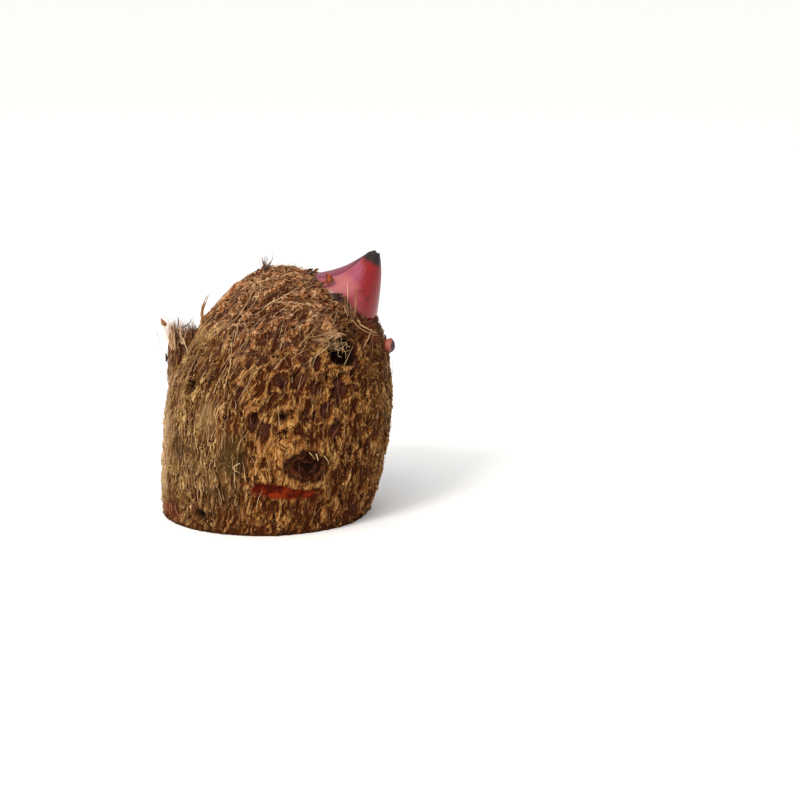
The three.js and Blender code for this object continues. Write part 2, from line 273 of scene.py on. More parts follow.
def where_all(tree, *masks):
    """A mask of the places where all the given masks are."""
    shared = masks[0]
    for mask in masks[1:]:
        shared = add(tree, "ShaderNodeMath", {0: shared, 1: mask}, operation="MULTIPLY")
    return shared


def noise(tree, places, stretch, size, detail, roughness):
    """Noise with a grain of one size in millimetres, drawn out where its stretch is below 1."""
    drawn = add(tree, "ShaderNodeVectorMath", {0: places, 1: stretch}, operation="MULTIPLY")
    return add(tree, "ShaderNodeTexNoise",
               {"Vector": drawn, "Scale": 1 / size, "Detail": detail, "Roughness": roughness}, "Fac")


def skin_pattern(tree, grain, zone):
    """Masks from 0 to 1 for the skin's crust, strands, weave and cracks, in any kind of tree."""
    moved = add(tree, "ShaderNodeVectorMath", {0: grain, 1: PATTERN_SHIFT}, operation="ADD")
    sway = {"Vector": moved, "Scale": 1 / SWAY_SIZE, "Detail": 3.0}
    sway = add(tree, "ShaderNodeTexNoise", sway, "Color")
    sway = add(tree, "ShaderNodeVectorMath", {0: sway, 1: (0.5, 0.5, 0.5)}, operation="SUBTRACT")
    swayed = {0: sway, 1: SKIN_SWAY, 2: moved}
    swayed = add(tree, "ShaderNodeVectorMath", swayed, operation="MULTIPLY_ADD")
    fine = noise(tree, swayed, (1, 1, 0.09), FINE_WIDTH, detail=2.0, roughness=0.5)
    crumb = noise(tree, swayed, (1, 1, 0.18), CRUMB_SIZE, detail=3.0, roughness=0.65)
    # Where the skin is felted, the crumbs turn into short lengths of fibre.
    longer = add(tree, "ShaderNodeMath", {0: fine, 1: crumb}, operation="SUBTRACT")
    crumb = summed(tree, crumb, [(longer, where_all(tree, zone["felted"], 0.65))])
    body = noise(tree, swayed, (1, 1, 0.34), BODY_SIZE, detail=5.0, roughness=0.66)

    # The crust is a net of long meshes, which noise makes thick here and breaks there.
    cells = add(tree, "ShaderNodeVectorMath", {0: swayed, 1: (1, 1, 1 / NET_STRETCH)}, operation="MULTIPLY")
    edge = add(tree, "ShaderNodeTexVoronoi", {"Vector": cells, "Scale": 1 / NET_CELL}, "Distance",
               feature="DISTANCE_TO_EDGE")
    crust = summed(tree, -0.575, [
        (edge, -0.9), (body, 1.05), (crumb, 0.2), (zone["netted"], 0.07), (zone["crusted"], 0.1),
        (zone["sleek"], -0.04), (zone["combed"], -0.08)])
    crust = add(tree, "ShaderNodeMath", {0: crust, 1: zone["blot"]}, operation="SUBTRACT")
    net = between(tree, crust, -0.01, 0.025)
    thick = between(tree, crust, 0.05, 0.16)
    uncombed = summed(tree, 1.0, [(zone["combed"], -0.8)])
    # The thin gaps round the crust are sunk in the relief, and the colour paints shade in them.
    gap = where_all(tree, between(tree, crust, -0.03, -0.09), uncombed)
    patch = where_all(tree, between(tree, crust, -0.26, -0.36), uncombed)

    strand = noise(tree, swayed, (1, 1, 0.05), STRAND_WIDTH, detail=3.0, roughness=0.5)
    unpatched = summed(tree, 1.0, [(patch, -0.85)])
    comb = where_all(tree, summed(tree, 0.5, [(zone["combed"], 0.5)]), unpatched)
    light_strand = where_all(tree, between(tree, strand, 0.56, 0.595), comb)
    dark_strand = where_all(tree, between(tree, strand, 0.44, 0.4), comb)

    # Two sets of strands wind round the corm in opposite ways.
    along = add(tree, "ShaderNodeSeparateXYZ", {0: moved}, "Z")
    sets = []
    for twist in (WEAVE_TWIST, -WEAVE_TWIST):
        angle = add(tree, "ShaderNodeMath", {0: along, 1: twist}, operation="MULTIPLY")
        wound = {"Vector": grain, "Angle": angle}
        wound = add(tree, "ShaderNodeVectorRotate", wound, rotation_type="Z_AXIS")
        wound = {0: sway, 1: WEAVE_SWAY, 2: wound}
        wound = add(tree, "ShaderNodeVectorMath", wound, operation="MULTIPLY_ADD")
        lines = noise(tree, wound, (1, 1, 0.07), WEAVE_WIDTH, detail=2.0, roughness=0.5)
        sets.append(between(tree, lines, 0.57, 0.6))
    weave = add(tree, "ShaderNodeMath", {0: sets[0], 1: sets[1]}, operation="MAXIMUM")
    weave = where_all(tree, weave, zone["felted"], unpatched)

    # Cracks lie where their noise passes through its middle value.
    field = noise(tree, swayed, (1, 1, 0.3), CRACK_SPACING, detail=3.0, roughness=0.6)
    off = add(tree, "ShaderNodeMath", {0: field, 1: 0.5}, operation="SUBTRACT")
    off = add(tree, "ShaderNodeMath", {0: off}, operation="ABSOLUTE")
    crack = where_all(tree, between(tree, off, 0.02, 0.005), between(tree, body, 0.44, 0.56))
    return {"net": net, "thick": thick, "gap": gap, "patch": patch, "crumb": crumb, "fine": fine,
            "body": body, "light_strand": light_strand, "dark_strand": dark_strand, "weave": weave,
            "crack": crack}


def relief_tree():
    """Geometry Nodes: raises the skin's net and threads, and sinks its patches, cracks and eyes."""
    sizes = {"Crust height": 0.7, "Thick crust height": 0.4, "Gap depth": -0.3, "Patch depth": -0.3,
             "Crumb height": 0.6, "Strand height": 0.3, "Strand depth": -0.5, "Weave height": 0.4,
             "Crack depth": -0.7, "Lobe height": 2.0, "Level": -1.9}
    tree, given, keys = new_tree("skin relief", [(name, "Float", size) for name, size in sizes.items()])
    read = {name: add(tree, "GeometryNodeInputNamedAttribute", {"Name": name}, data_type=kind)
            for name, kind in (("grain", "FLOAT_VECTOR"), ("out", "FLOAT_VECTOR"),
                               ("room", "FLOAT"), ("press", "FLOAT"), ("blot", "FLOAT"),
                               *((z, "FLOAT") for z in ZONES))}
    masks = skin_pattern(tree, read["grain"], read)
    lobe = {"Vector": read["grain"], "Scale": 1 / LOBE_SIZE, "Detail": 1.0}
    lobe = add(tree, "ShaderNodeTexNoise", lobe, "Fac")
    raised = (("net", "Crust height"), ("thick", "Thick crust height"), ("gap", "Gap depth"),
              ("patch", "Patch depth"), ("crumb", "Crumb height"), ("light_strand", "Strand height"),
              ("dark_strand", "Strand depth"), ("weave", "Weave height"), ("crack", "Crack depth"))
    height = summed(tree, given["Level"], [(masks[mask], given[size]) for mask, size in raised])
    height = summed(tree, height, [(lobe, given["Lobe height"])])
    height = summed(tree, read["press"], [(height, read["room"])])
    metres = add(tree, "ShaderNodeMath", {0: height, 1: MM}, operation="MULTIPLY")
    offset = add(tree, "ShaderNodeVectorMath", {0: read["out"], "Scale": metres}, operation="SCALE")
    shaped = add(tree, "GeometryNodeSetPosition", {"Geometry": given["Geometry"], "Offset": offset})
    end_tree(tree, given, shaped)
    return tree, keys


def eye_frame(eye):
    turn, share = math.radians(eye["turn"]), eye["at"]
    middle = on_form(CORM, turn, share)
    out, along, _ = frame_on(CORM, turn, share)
    return middle, out, along, np.cross(along, out)


def eye_reach(eye, places):
    """How far places are from an eye's middle, where 1 is its edge."""
    middle, out, along, across = eye_frame(eye)
    offset = places - middle
    tilt = math.radians(eye.get("tilt", 0))
    sideways, upwards = offset @ across, offset @ along
    x = sideways * math.cos(tilt) + upwards * math.sin(tilt)
    y = upwards * math.cos(tilt) - sideways * math.sin(tilt)
    return np.sqrt((x / eye["width"]) ** 2 + (y / eye["height"]) ** 2 + ((offset @ out) / 15) ** 2)


WAVES = 14
HIGHEST_SUM = 5  # that so many waves seldom pass


def wavering(places, size, seed):
    """A smooth random field from -1 to 1 over places in millimetres, from a few plane waves."""
    draw = np.random.default_rng(seed)
    total = np.zeros(len(places))
    for _ in range(WAVES):
        way = unit(draw.normal(size=3)) * draw.uniform(0.6, 1.6) * 2 * math.pi / size
        total += np.sin(places @ way + draw.uniform(0, 6.28))
    return total / HIGHEST_SUM


def press_of(places):
    """What eyes, the bud scar and the nick do to the skin: their push, and masks of each."""
    push = np.zeros(len(places))
    pit = np.zeros(len(places))
    lip = np.zeros(len(places))
    ragged = 0.1 * wavering(places, 5, 3) + 0.07 * wavering(places, 2.4, 4)
    for eye in EYES:
        reach = eye_reach(eye, places) + ragged
        hollow = 1 - smooth(reach, *eye.get("wall", (0.35, 1.0)))
        brow = np.exp(-(((reach - 1.15) / 0.3) ** 2))
        push += eye["lip"] * brow - eye["deep"] * hollow
        dark = 1 - smooth(reach, *eye.get("dark", (0.1, 0.8)))
        pit, lip = np.maximum(pit, dark), np.maximum(lip, brow)
    scar = eye_reach(EYES[BUD_SCAR], places) + 1.1 * ragged
    rings = np.cos(scar * 2 * math.pi * 2.8) * (1 - smooth(scar, 0.85, 1.1)) * (0.8 + ragged * 3)
    push += 0.45 * rings
    cut = eye_reach(NICK, places) + 1.6 * ragged
    nick = 1 - smooth(cut, 0.8, 1.0)
    push += 0.5 * np.exp(-(((cut - 1.12) / 0.14) ** 2)) - NICK["deep"] * nick
    return push, pit, lip, rings, nick, 1 - smooth(scar, 0.8, 1.15)


# Bare dark patches: degrees round the corm, share of the growth, half width and half height.
BLOTS = [
    (-101, 0.405, 2.6, 5.0), (-95, 0.375, 2.8, 4.6), (-92, 0.557, 4.2, 3.2), (-84, 0.57, 3.4, 4.4),
    (-73, 0.552, 2.8, 3.4), (-60, 0.55, 4.2, 7.0), (-107, 0.717, 2.2, 6.0), (-104, 0.667, 2.0, 5.0),
    (-109, 0.62, 3.0, 4.8), (-77, 0.65, 2.2, 3.2), (-84, 0.645, 2.0, 3.4), (-121, 0.633, 1.9, 5.0),
    (-66, 0.47, 2.4, 4.4), (-76, 0.44, 2.0, 3.4), (-112, 0.47, 1.8, 4.6), (-118, 0.55, 1.6, 4.2),
    (-52, 0.66, 2.8, 4.6), (-58, 0.4, 2.6, 5.0), (-98, 0.79, 2.0, 3.4), (-133, 0.5, 1.8, 4.8),
    (-162, 0.75, 1.7, 5.5), (-157, 0.718, 1.7, 5.0), (-130, 0.757, 1.9, 5.0), (-124, 0.713, 2.1, 5.5),
    (-131, 0.657, 2.0, 6.0), (-144, 0.652, 1.8, 6.0), (-114, 0.597, 2.0, 4.5), (-112, 0.68, 1.9, 5.0),
    (-143, 0.733, 1.6, 5.0), (-136, 0.603, 1.7, 5.0), (-93, 0.72, 1.6, 4.6), (-150, 0.8, 1.6, 4.6),
    (98, 0.55, 3.6, 5.4), (84, 0.48, 2.8, 5.0), (112, 0.6, 2.6, 5.4), (70, 0.58, 3.0, 5.6),
    (104, 0.42, 2.4, 4.2), (60, 0.45, 2.4, 4.8), (124, 0.5, 2.2, 4.6), (90, 0.68, 2.6, 4.4),
    (8, 0.6, 2.4, 5.6), (-12, 0.52, 2.6, 5.0), (34, 0.38, 2.4, 5.0), (168, 0.4, 2.2, 5.4),
]


# Raised light flaps of cork, given in the same way.
FLAPS = [
    (-129, 0.345, 3.6, 7.5), (-152, 0.512, 1.8, 7.0), (-134, 0.713, 1.6, 4.0), (-138, 0.643, 1.7, 4.2),
    (-109, 0.658, 2.6, 4.2), (-107, 0.47, 2.2, 5.0), (-96, 0.315, 3.4, 6.0), (-93, 0.235, 4.0, 4.0),
    (-121, 0.498, 1.4, 5.0), (88, 0.36, 3.6, 7.0), (120, 0.66, 2.4, 6.0), (20, 0.3, 2.6, 6.0),
]


def blots_of(places):
    """How deep places lie inside a bare patch: below 0 on a slight ridge round it and on flaps."""
    ragged = 0.3 * wavering(places, 5, 31) + 0.2 * wavering(places, 2.2, 32)
    total = np.zeros(len(places))
    for turn, share, width, height in BLOTS:
        reach = eye_reach({"turn": turn, "at": share, "width": width, "height": height}, places) + ragged
        total += 0.5 * (1 - smooth(reach, 0.6, 1.15)) - 0.14 * np.exp(-(((reach - 1.3) / 0.22) ** 2))
    for turn, share, width, height in FLAPS:
        reach = eye_reach({"turn": turn, "at": share, "width": width, "height": height}, places) + ragged
        total -= 0.24 * (1 - smooth(reach, 0.7, 1.1))
    return total


# Where each kind of skin lies: blobs as middle and half widths, in millimetres.
ZONE_BLOBS = {
    "netted": [((17, -44, 60), (36, 30, 33)), ((8, 44, 52), (38, 30, 34))],
    "combed": [((-34, -26, 42), (26, 34, 50)), ((-20, -42, 26), (15, 16, 22)), ((50, 22, 44), (22, 40, 44))],
    "felted": [((4, 0, 100), (44, 60, 27))],
    "crusted": [((9, -47, 31), (14, 12, 16)), ((-23, -38, 53), (10, 12, 9)), ((-14, 44, 36), (18, 12, 18))],
    "sleek": [((47, -12, 82), (13, 18, 15)), ((0, 0, -14), (90, 90, 22))],
}


def zones_of(places):
    """How strongly each kind of skin shows at places, from 0 to 1."""
    ragged = 0.22 * wavering(places, 14, 21) + 0.1 * wavering(places, 5, 22)
    zones = {}
    for name, blobs in ZONE_BLOBS.items():
        reach = [np.linalg.norm((places - middle) / half, axis=1) for middle, half in blobs]
        zones[name] = 1 - smooth(np.min(reach, axis=0) + ragged, 0.65, 1.25)
    return zones


SKIN_AROUND = 440
SKIN_ALONG = 196
PEEL = 1.5  # thickness of the skin where the knife went through
FLESH_RISE = 0.8


def skin_base():
    """The smooth corm with what the relief needs to know, and the cut edge of its skin below."""
    turn, share = ring_grid(SKIN_AROUND, SKIN_ALONG, 0, 0.995)
    rings = on_form(CORM, turn, share)
    out, along, stretch = frame_on(CORM, turn, share)
    out[0, :, 2] = 0
    out[0] = unit(out[0])
    middle_edge = on_form(CORM, turn[:1], share[:1], -PEEL)
    upper_edge = middle_edge + (0, 0, FLESH_RISE)
    all_rings = np.concatenate([upper_edge, middle_edge, rings])
    rows = len(all_rings)
    crown = on_form(CORM, np.array([0, math.pi]), 1.0).mean(0)
    points = np.vstack([all_rings.reshape(-1, 3), [0, 0, FLESH_RISE], crown])
    skin = build("corm_skin", points, ring_faces(rows, SKIN_AROUND))

    def spread(values, inner, ends):
        """Values of the rings, with those of the cut edge before them and of the end points after."""
        flat = values.reshape(len(values), SKIN_AROUND, -1)
        edge = np.broadcast_to(inner, (2, SKIN_AROUND, flat.shape[-1]))
        whole = np.concatenate([edge, flat]).reshape(-1, flat.shape[-1])
        whole = np.vstack([whole, np.broadcast_to(ends, (2, flat.shape[-1]))])
        return whole if flat.shape[-1] > 1 else whole[:, 0]

    # The relief has less room where the sections crowd together, and under the shoot.
    room = smooth(stretch / GROWTH_LENGTH, 0.05, 0.8) * (1 - 0.8 * smooth(share, 0.93, 0.99))
    width = spline(CORM["half_depth"], share)[..., 0]
    grain = np.stack([width * np.cos(turn), width * np.sin(turn), share * GROWTH_LENGTH], -1)
    places = rings.reshape(-1, 3)
    push, pit, lip, rings_mask, nick, scar = press_of(places)
    room = room.ravel() * (1 - nick) * (1 - 0.6 * pit)
    blot = blots_of(places) - 0.2 * lip
    store(skin, "grain", spread(grain, grain[0], grain[-1, 0]))
    store(skin, "out", spread(out, 0.0, 0.0))
    store(skin, "flow", spread(along, along[0], along[-1, 0]))
    kept = {"room": room, "press": push, "pit": pit, "rings": rings_mask, "nick": nick, "scar": scar,
            "blot": blot, **zones_of(places)}
    for name, values in kept.items():
        store(skin, name, spread(values.reshape(share.shape), 0.0, 0.0))
    return skin


STUB_AROUND = 150
STUB_ALONG = 70


def stub_base():
    """The broken neck of a side corm, hollow at its top."""
    turn, share = ring_grid(STUB_AROUND, STUB_ALONG, 0, 1)
    places = on_form(STUB, turn, share)
    ribs = 0.55 * np.sin(7 * turn + 3 * share) + 0.35 * np.sin(11 * turn)
    torn = 0.9 * wavering(places.reshape(-1, 3), 4, 8).reshape(turn.shape) * smooth(share, 0.9, 1)
    rings = on_form(STUB, turn, share, ribs)
    rings[..., 2] += torn
    centre = rings[-1].mean(0)
    bowl = [centre + (rings[-1] - centre) * k + (0, 0, drop)
            for k, drop in ((0.82, -0.9), (0.6, -2.2), (0.3, -3.0))]
    whole = np.concatenate([rings, bowl])
    points = np.vstack([whole.reshape(-1, 3), rings[0].mean(0), centre - (0, 0, 3.2)])
    stub = build("stub_skin", points, ring_faces(len(whole), STUB_AROUND))
    out, along, _ = frame_on(STUB, turn, share)
    bowl_out = np.broadcast_to((0, 0, 1.0), (len(bowl), STUB_AROUND, 3))
    out = np.concatenate([out, bowl_out]).reshape(-1, 3)
    along = np.concatenate([along, bowl_out]).reshape(-1, 3)
    local = whole.reshape(-1, 3) - centre + (0, 0, 60)
    ends = np.zeros((2, 3))
    store(stub, "grain", np.vstack([local, ends]))
    store(stub, "out", np.vstack([out, ends]))
    store(stub, "flow", np.vstack([along, ends + (0, 0, 1)]))
    values = {"room": 0.8, "blot": 0.16, "combed": 0.3, "sleek": 0.2}
    for name in ("room", "press", "blot", "rings", "nick", "scar", *ZONES):
        store(stub, name, np.full(len(points), values.get(name, 0.0)))
    hollow = np.zeros(len(points))
    hollow[-2 - len(bowl) * STUB_AROUND:] = 1
    store(stub, "pit", hollow)
    return stub


def surface(name, values):
    """A material whose shader has the given values, and a new tree: the material, tree and shader."""
    material = bpy.data.materials.new(name)
    material.use_nodes = True
    tree = material.node_tree
    tree.nodes.clear()
    shader = tree.nodes.new("ShaderNodeBsdfPrincipled")
    add(tree, "ShaderNodeOutputMaterial", {"Surface": shader.outputs[0]})
    for key, value in values.items():
        shader.inputs[key].default_value = value
    return material, tree, shader


def coated(tree, shader, colour, height, strength, depth):
    """Gives a shader its colour, and fine relief as deep as some millimetres."""
    bump = {"Strength": strength, "Distance": depth * MM, "Height": height}
    bump = add(tree, "ShaderNodeBump", bump)
    tree.links.new(colour, shader.inputs["Base Color"])
    tree.links.new(bump, shader.inputs["Normal"])


def place_mm(tree):
    """The place on the object in millimetres, as a vector and as its X and Z."""
    place = add(tree, "ShaderNodeTexCoord", out="Object")
    place = add(tree, "ShaderNodeVectorMath", {0: place, "Scale": 1 / MM}, operation="SCALE")
    east = add(tree, "ShaderNodeSeparateXYZ", {0: place}, "X")
    return place, east, east.node.outputs["Z"]


def coat_over(tree, ground, coats):
    """Lays colours over a ground, each through its mask, and returns the last."""
    for mask, colour in coats:
        colour = hex_colour(colour) if isinstance(colour, str) else colour
        laid = {0: mask, MIX_A: ground, MIX_B: colour}
        ground = add(tree, "ShaderNodeMix", laid, MIX_RESULT, data_type="RGBA")
    return ground


def spotted(tree, ground, place, ragged, stains):
    """Lays soft spots over a colour: middle and half widths in millimetres, colour and strength."""
    for middle, half, colour, strength in stains:
        offset = add(tree, "ShaderNodeVectorMath", {0: place, 1: middle}, operation="SUBTRACT")
        offset = add(tree, "ShaderNodeVectorMath", {0: offset, 1: half}, operation="DIVIDE")
        reach = add(tree, "ShaderNodeVectorMath", {0: offset}, "Value", operation="LENGTH")
        reach = summed(tree, reach, [(ragged, 0.9)])
        ground = coat_over(tree, ground, [(between(tree, reach, 1.5, 0.9, strength), colour)])
    return ground


# Stains under the skin's threads, and those that lie over them. The pale band down the left side, which
# faces the lamps, is partly paler cork and partly a painted lit side.
STAINS_AND_LIT_SIDE = [
    # partly paler cork, partly a painted lit side down the left side, which faces the lamps
    ((-47, -12, 34), (9, 24, 32), "#c8a26c", 0.9),
    ((-40, -20, 5), (13, 16, 5), "#6e3022", 0.8),
    ((-34, -10, 74), (11, 18, 16), "#4a261a", 0.8),
    ((40, -27, 84), (8, 8, 8), "#3f2114", 0.9),
    ((49, -14, 85), (8, 9, 12), "#85402a", 0.9),
    ((-18, -40, 33), (13, 14, 12), "#54421f", 0.8),
    ((-33, -30, 26), (13, 14, 13), "#86693a", 0.8),
    ((24, -44, 72), (14, 10, 10), "#6b3c1c", 0.5),
    ((20, 44, 40), (30, 14, 30), "#5c3a20", 0.5),
    ((-20, 42, 70), (24, 16, 24), "#96683a", 0.5),
]
WASHES_AND_LIT_SIDE = [
    # partly paler cork, partly a painted lit side down the left side, which faces the lamps
    ((-47, -4, 34), (11, 21, 50), "#efca99", 0.8),
    ((-36, -28, 36), (6, 8, 9), "#42321f", 0.6),
    ((-26, -12, 83), (3.5, 9, 7), "#c9a064", 0.7),
    ((-11, -46, 36), (9, 8, 14), "#453619", 0.6),
    ((-23, -39, 51), (7, 7, 9), "#b48d5c", 0.5),
    ((-40, -18, 4), (12, 16, 5), "#7a3324", 0.55),
    ((-18, -43, 18), (11, 8, 5), "#33270f", 0.55),
    ((50, -14, 86), (7, 8, 10), "#8a4630", 0.5),
    ((40, -27, 85), (6, 8, 7), "#3f2416", 0.6),
    ((10, 46, 30), (16, 9, 14), "#453619", 0.5),
]


def corky_skin():
    """Dry cork with loose fibre: dull, broken tan threads over dark, slightly sunken patches."""
    material, tree, shader = surface("dry corky skin", {"Specular IOR Level": 0.06})
    grain = add(tree, "ShaderNodeAttribute", attribute_name="grain", out="Vector")
    read = {name: add(tree, "ShaderNodeAttribute", attribute_name=name, out="Fac")
            for name in ("pit", "rings", "nick", "scar", "blot", *ZONES)}
    masks = skin_pattern(tree, grain, read)
    place, _, foot = place_mm(tree)
    mottle = noise(tree, grain, (1, 1, 1), size=7.0, detail=4.0, roughness=0.7)
    grit = noise(tree, grain, (1, 1, 0.22), size=0.9, detail=4.0, roughness=0.75)
    ground = coat_over(tree, hex_colour("#5c2e12"), [
        (between(tree, mottle, 0.42, 0.6), "#78441f"),
        (read["combed"], "#714a28"),
        (read["felted"], "#905022"),
        (read["crusted"], "#844d22"),
        (read["sleek"], "#6f3e1c"),
    ])
    ground = spotted(tree, ground, place, mottle, STAINS_AND_LIT_SIDE)
    bright = between(tree, grit, 0.49, 0.55)
    raw = where_all(tree, between(tree, mottle, 0.46, 0.6), read["nick"])
    thin, full, pale = [
        coat_over(tree, hex_colour(plain), [(read["felted"], felted), (read["combed"], combed)])
        for plain, felted, combed in (("#824a20", "#a65828", "#875d30"), ("#9b642d", "#c07239", "#a67a42"),
                                      ("#ca985c", "#fdcf9d", "#deb578"))]
    broad = summed(tree, read["felted"], [(read["combed"], 0.45)])
    colour = coat_over(tree, ground, [
        (between(tree, masks["crumb"], 0.5, 0.6, 0.8), full),
        (between(tree, masks["crumb"], 0.47, 0.39, 0.85), "#451e09"),
        # painted shade in the gaps round the crust
        (masks["gap"], "#4a1f09"),
        (masks["patch"], "#3d1d14"),
        (where_all(tree, masks["patch"], between(tree, grit, 0.5, 0.7)), "#6e4434"),
        (masks["net"], thin),
        (masks["thick"], full),
        (where_all(tree, masks["net"], bright), pale),
        (where_all(tree, masks["net"], between(tree, masks["fine"], 0.47, 0.4, 0.85)), "#55290f"),
        (where_all(tree, masks["net"], between(tree, masks["crumb"], 0.46, 0.38, 0.8)), "#47210a"),
        (where_all(tree, broad, between(tree, masks["body"], 0.53, 0.59, 0.35)), pale),
        (masks["weave"], full),
        (where_all(tree, masks["weave"], bright), pale),
        (masks["light_strand"], full),
        (where_all(tree, masks["light_strand"], bright), pale),
        (masks["dark_strand"], "#3d1b09"),
        (where_all(tree, broad, between(tree, masks["body"], 0.495, 0.43, 0.85)), "#45200f"),
        (masks["crack"], "#2b0f02"),
    ])
    colour = spotted(tree, colour, place, mottle, WASHES_AND_LIT_SIDE)
    colour = coat_over(tree, colour, [
        (between(tree, foot, 2.2, 0.0, 0.85), "#431d08"),
        (read["scar"], "#35170a"),
        (between(tree, read["rings"], 0.1, 0.6, 0.75), "#6b3a1e"),
        (read["pit"], "#1d0c05"),
        (read["nick"], "#5a1607"),
        (raw, "#9c3412"),
    ])
    raised = (("net", 0.9), ("thick", 0.5), ("weave", 1.3), ("light_strand", 0.9), ("dark_strand", -1.0),
              ("crumb", 1.6), ("crack", -1.2), ("gap", -0.5))
    height = summed(tree, 0.0, [(masks[mask], size) for mask, size in raised])
    height = summed(tree, height, [(grit, 1.4)])
    coated(tree, shader, colour, height, 1.0, 1.0)
    # The nick is moist, so it is the only place that shines.
    rough = {"Value": read["nick"], "To Min": 0.85, "To Max": 0.3}
    rough = add(tree, "ShaderNodeMapRange", rough)
    tree.links.new(rough, shader.inputs["Roughness"])
    return material


corky = {"Material": corky_skin()}
relief, relief_keys = relief_tree()
corm_skin = run_tree(skin_base(), relief, relief_keys, corky)
stub_skin = run_tree(stub_base(), relief, relief_keys, corky)


def plate(outer, inner):
    """Points and faces of a closed curved plate, from the grids of its outer and inner side."""
    rows, columns = outer.shape[:2]
    points = np.vstack([outer.reshape(-1, 3), inner.reshape(-1, 3)])
    top = np.arange(rows * columns).reshape(rows, columns)
    under = top + rows * columns
    quads = [np.stack([top[:-1, :-1], top[:-1, 1:], top[1:, 1:], top[1:, :-1]], -1),
             np.stack([under[:-1, :-1], under[1:, :-1], under[1:, 1:], under[:-1, 1:]], -1)]
    faces = [tuple(q) for grid in quads for q in grid.reshape(-1, 4)]
    rim = [*top[0, :-1], *top[:-1, -1], *top[-1, :0:-1], *top[:0:-1, 0]]
    for a, b in zip(rim, rim[1:] + rim[:1]):
        faces.append((b, a, a + rows * columns, b + rows * columns))
    return points, faces


SHEATH_THICKNESS = 1.1
SHEATH_TURN = (-140.0, 132.0)  # degrees round the shoot that the outer sheath covers


def shoot_sheath():
    """The pink outer sheath: a thin wrap with an open edge at the upper left and a torn tip."""
    columns, rows = 180, 130
    across, up = np.meshgrid(np.linspace(0, 1, columns), np.linspace(0, 1, rows))
    opening = np.radians(SHEATH_TURN[0] - 20 * (1 - np.sin(math.pi * np.clip(up * 1.15 - 0.1, 0, 1))))
    turn = opening + across * (math.radians(SHEATH_TURN[1]) - opening)
    tear = 0.045 - 0.03 * np.cos(2 * turn) + 0.01 * np.sin(13 * turn) + 0.008 * np.sin(31 * turn + 1)
    share = up * (1 - tear)
    ribs = 0.05 * np.sin(26 * turn) * smooth(share, 0.2, 0.6) + 0.12 * np.sin(3 * turn + 5 * share)
    edge = np.minimum(across, 1 - across) * 60
    thickness = (SHEATH_THICKNESS - 0.45 * share) * (0.35 + 0.65 * smooth(edge, 0, 3))
    thickness = thickness * (1 - 0.5 * smooth(up, 0.9, 1))
    outer = on_form(SHOOT, turn, share, ribs)
    inner = on_form(SHOOT, turn, share, ribs - thickness)
    sheath = build("shoot_sheath_skin", *plate(outer, inner))
    wrap = np.stack([turn * 12, share * 36, across], -1).reshape(-1, 3)
    store(sheath, "wrap", np.vstack([wrap, wrap]))
    return sheath


def shoot_leaf():
    """The rolled leaf inside the sheath, which shows past the sheath's open edge."""
    turn, share = ring_grid(160, 90, 0.02, 0.975)
    degrees = np.degrees(turn)
    past = np.where(degrees > 0, degrees - SHEATH_TURN[1], SHEATH_TURN[0] - degrees)
    open_side = smooth(past, 4, 22)
    grown = -(SHEATH_THICKNESS - 0.45 * share + 0.3) * (1 - open_side) - 0.35 * open_side
    grown = grown + 0.04 * np.sin(30 * turn)
    rings = on_form(SHOOT, turn, share, grown)
    points = np.vstack([rings.reshape(-1, 3), rings[0].mean(0), rings[-1].mean(0) + (0.5, 0, 1.2)])
    leaf = build("shoot_leaf_skin", points, ring_faces(*share.shape))
    wrap = np.stack([turn * 12, share * 36, np.zeros_like(turn)], -1).reshape(-1, 3)
    store(leaf, "wrap", np.vstack([wrap, wrap[0], wrap[-1]]))
    return leaf


BUD_PLACE = (55.6, -5, 75.2)
BUD_LEAN = 20.0  # degrees to the right
BUD_OUTLINE = [(0, -3.2), (2.2, -2), (2.9, 0.2), (1.9, 2.6), (0, 4)]  # radius and height


def side_bud():
    """A small bud with two overlapping scales and a blunt point."""
    turn, share = ring_grid(72, 48, 0.01, 0.99)
    section = spline(BUD_OUTLINE, share)
    fold = 0.22 * smooth(np.sin(turn + 4 * share), -0.15, 0.15) * smooth(share, 0.2, 0.5)
    radius = np.maximum(0.02, section[..., 0] + fold * (1 - share) + 0.05 * np.sin(9 * turn + 2 * share))
    rings = np.stack([radius * np.cos(turn), radius * np.sin(turn), section[..., 1]], -1)
    lean = math.radians(BUD_LEAN)
    turned = np.stack([rings[..., 0] * math.cos(lean) + rings[..., 2] * math.sin(lean), rings[..., 1],
                       rings[..., 2] * math.cos(lean) - rings[..., 0] * math.sin(lean)], -1)
    turned += BUD_PLACE
    points = np.vstack([turned.reshape(-1, 3), turned[0].mean(0), turned[-1].mean(0)])
    bud = build("side_bud_skin", points, ring_faces(*share.shape))
    wrap = np.stack([turn * 3, share * 7, np.zeros_like(turn)], -1).reshape(-1, 3)
    store(bud, "wrap", np.vstack([wrap, wrap[0], wrap[-1]]))
    return bud


def cut_face():
    """The flesh that the knife left: a flat disc inside the skin's edge, faintly uneven."""
    turn, share = ring_grid(240, 60, 1, 0.02)
    edge = on_form(CORM, turn, np.zeros_like(turn), -PEEL + 0.25)
    flat = edge * share[..., None]
    flat[..., 2] = 0.05 + 0.06 * (1 + wavering(flat.reshape(-1, 3), 9, 5).reshape(turn.shape) / 2)
    back = flat[:1] + (0, 0, 0.6)
    rings = np.concatenate([back, flat])
    points = np.vstack([rings.reshape(-1, 3), [0, 0, 0.7], [0, 0, 0.1]])
    # The rings run from the hidden back to the middle of the visible face, which looks down.
    return build("cut_face", points, ring_faces(*rings.shape[:2]))


VEIN_WIDTH = 0.7


def leaf_veins(tree):
    """Fine lines along the shoot, and how far up it a place lies, in millimetres."""
    wrap = add(tree, "ShaderNodeAttribute", attribute_name="wrap", out="Vector")
    up = add(tree, "ShaderNodeSeparateXYZ", {0: wrap}, "Y")
    return noise(tree, wrap, (1, 0.06, 0), VEIN_WIDTH, detail=2.0, roughness=0.5), up
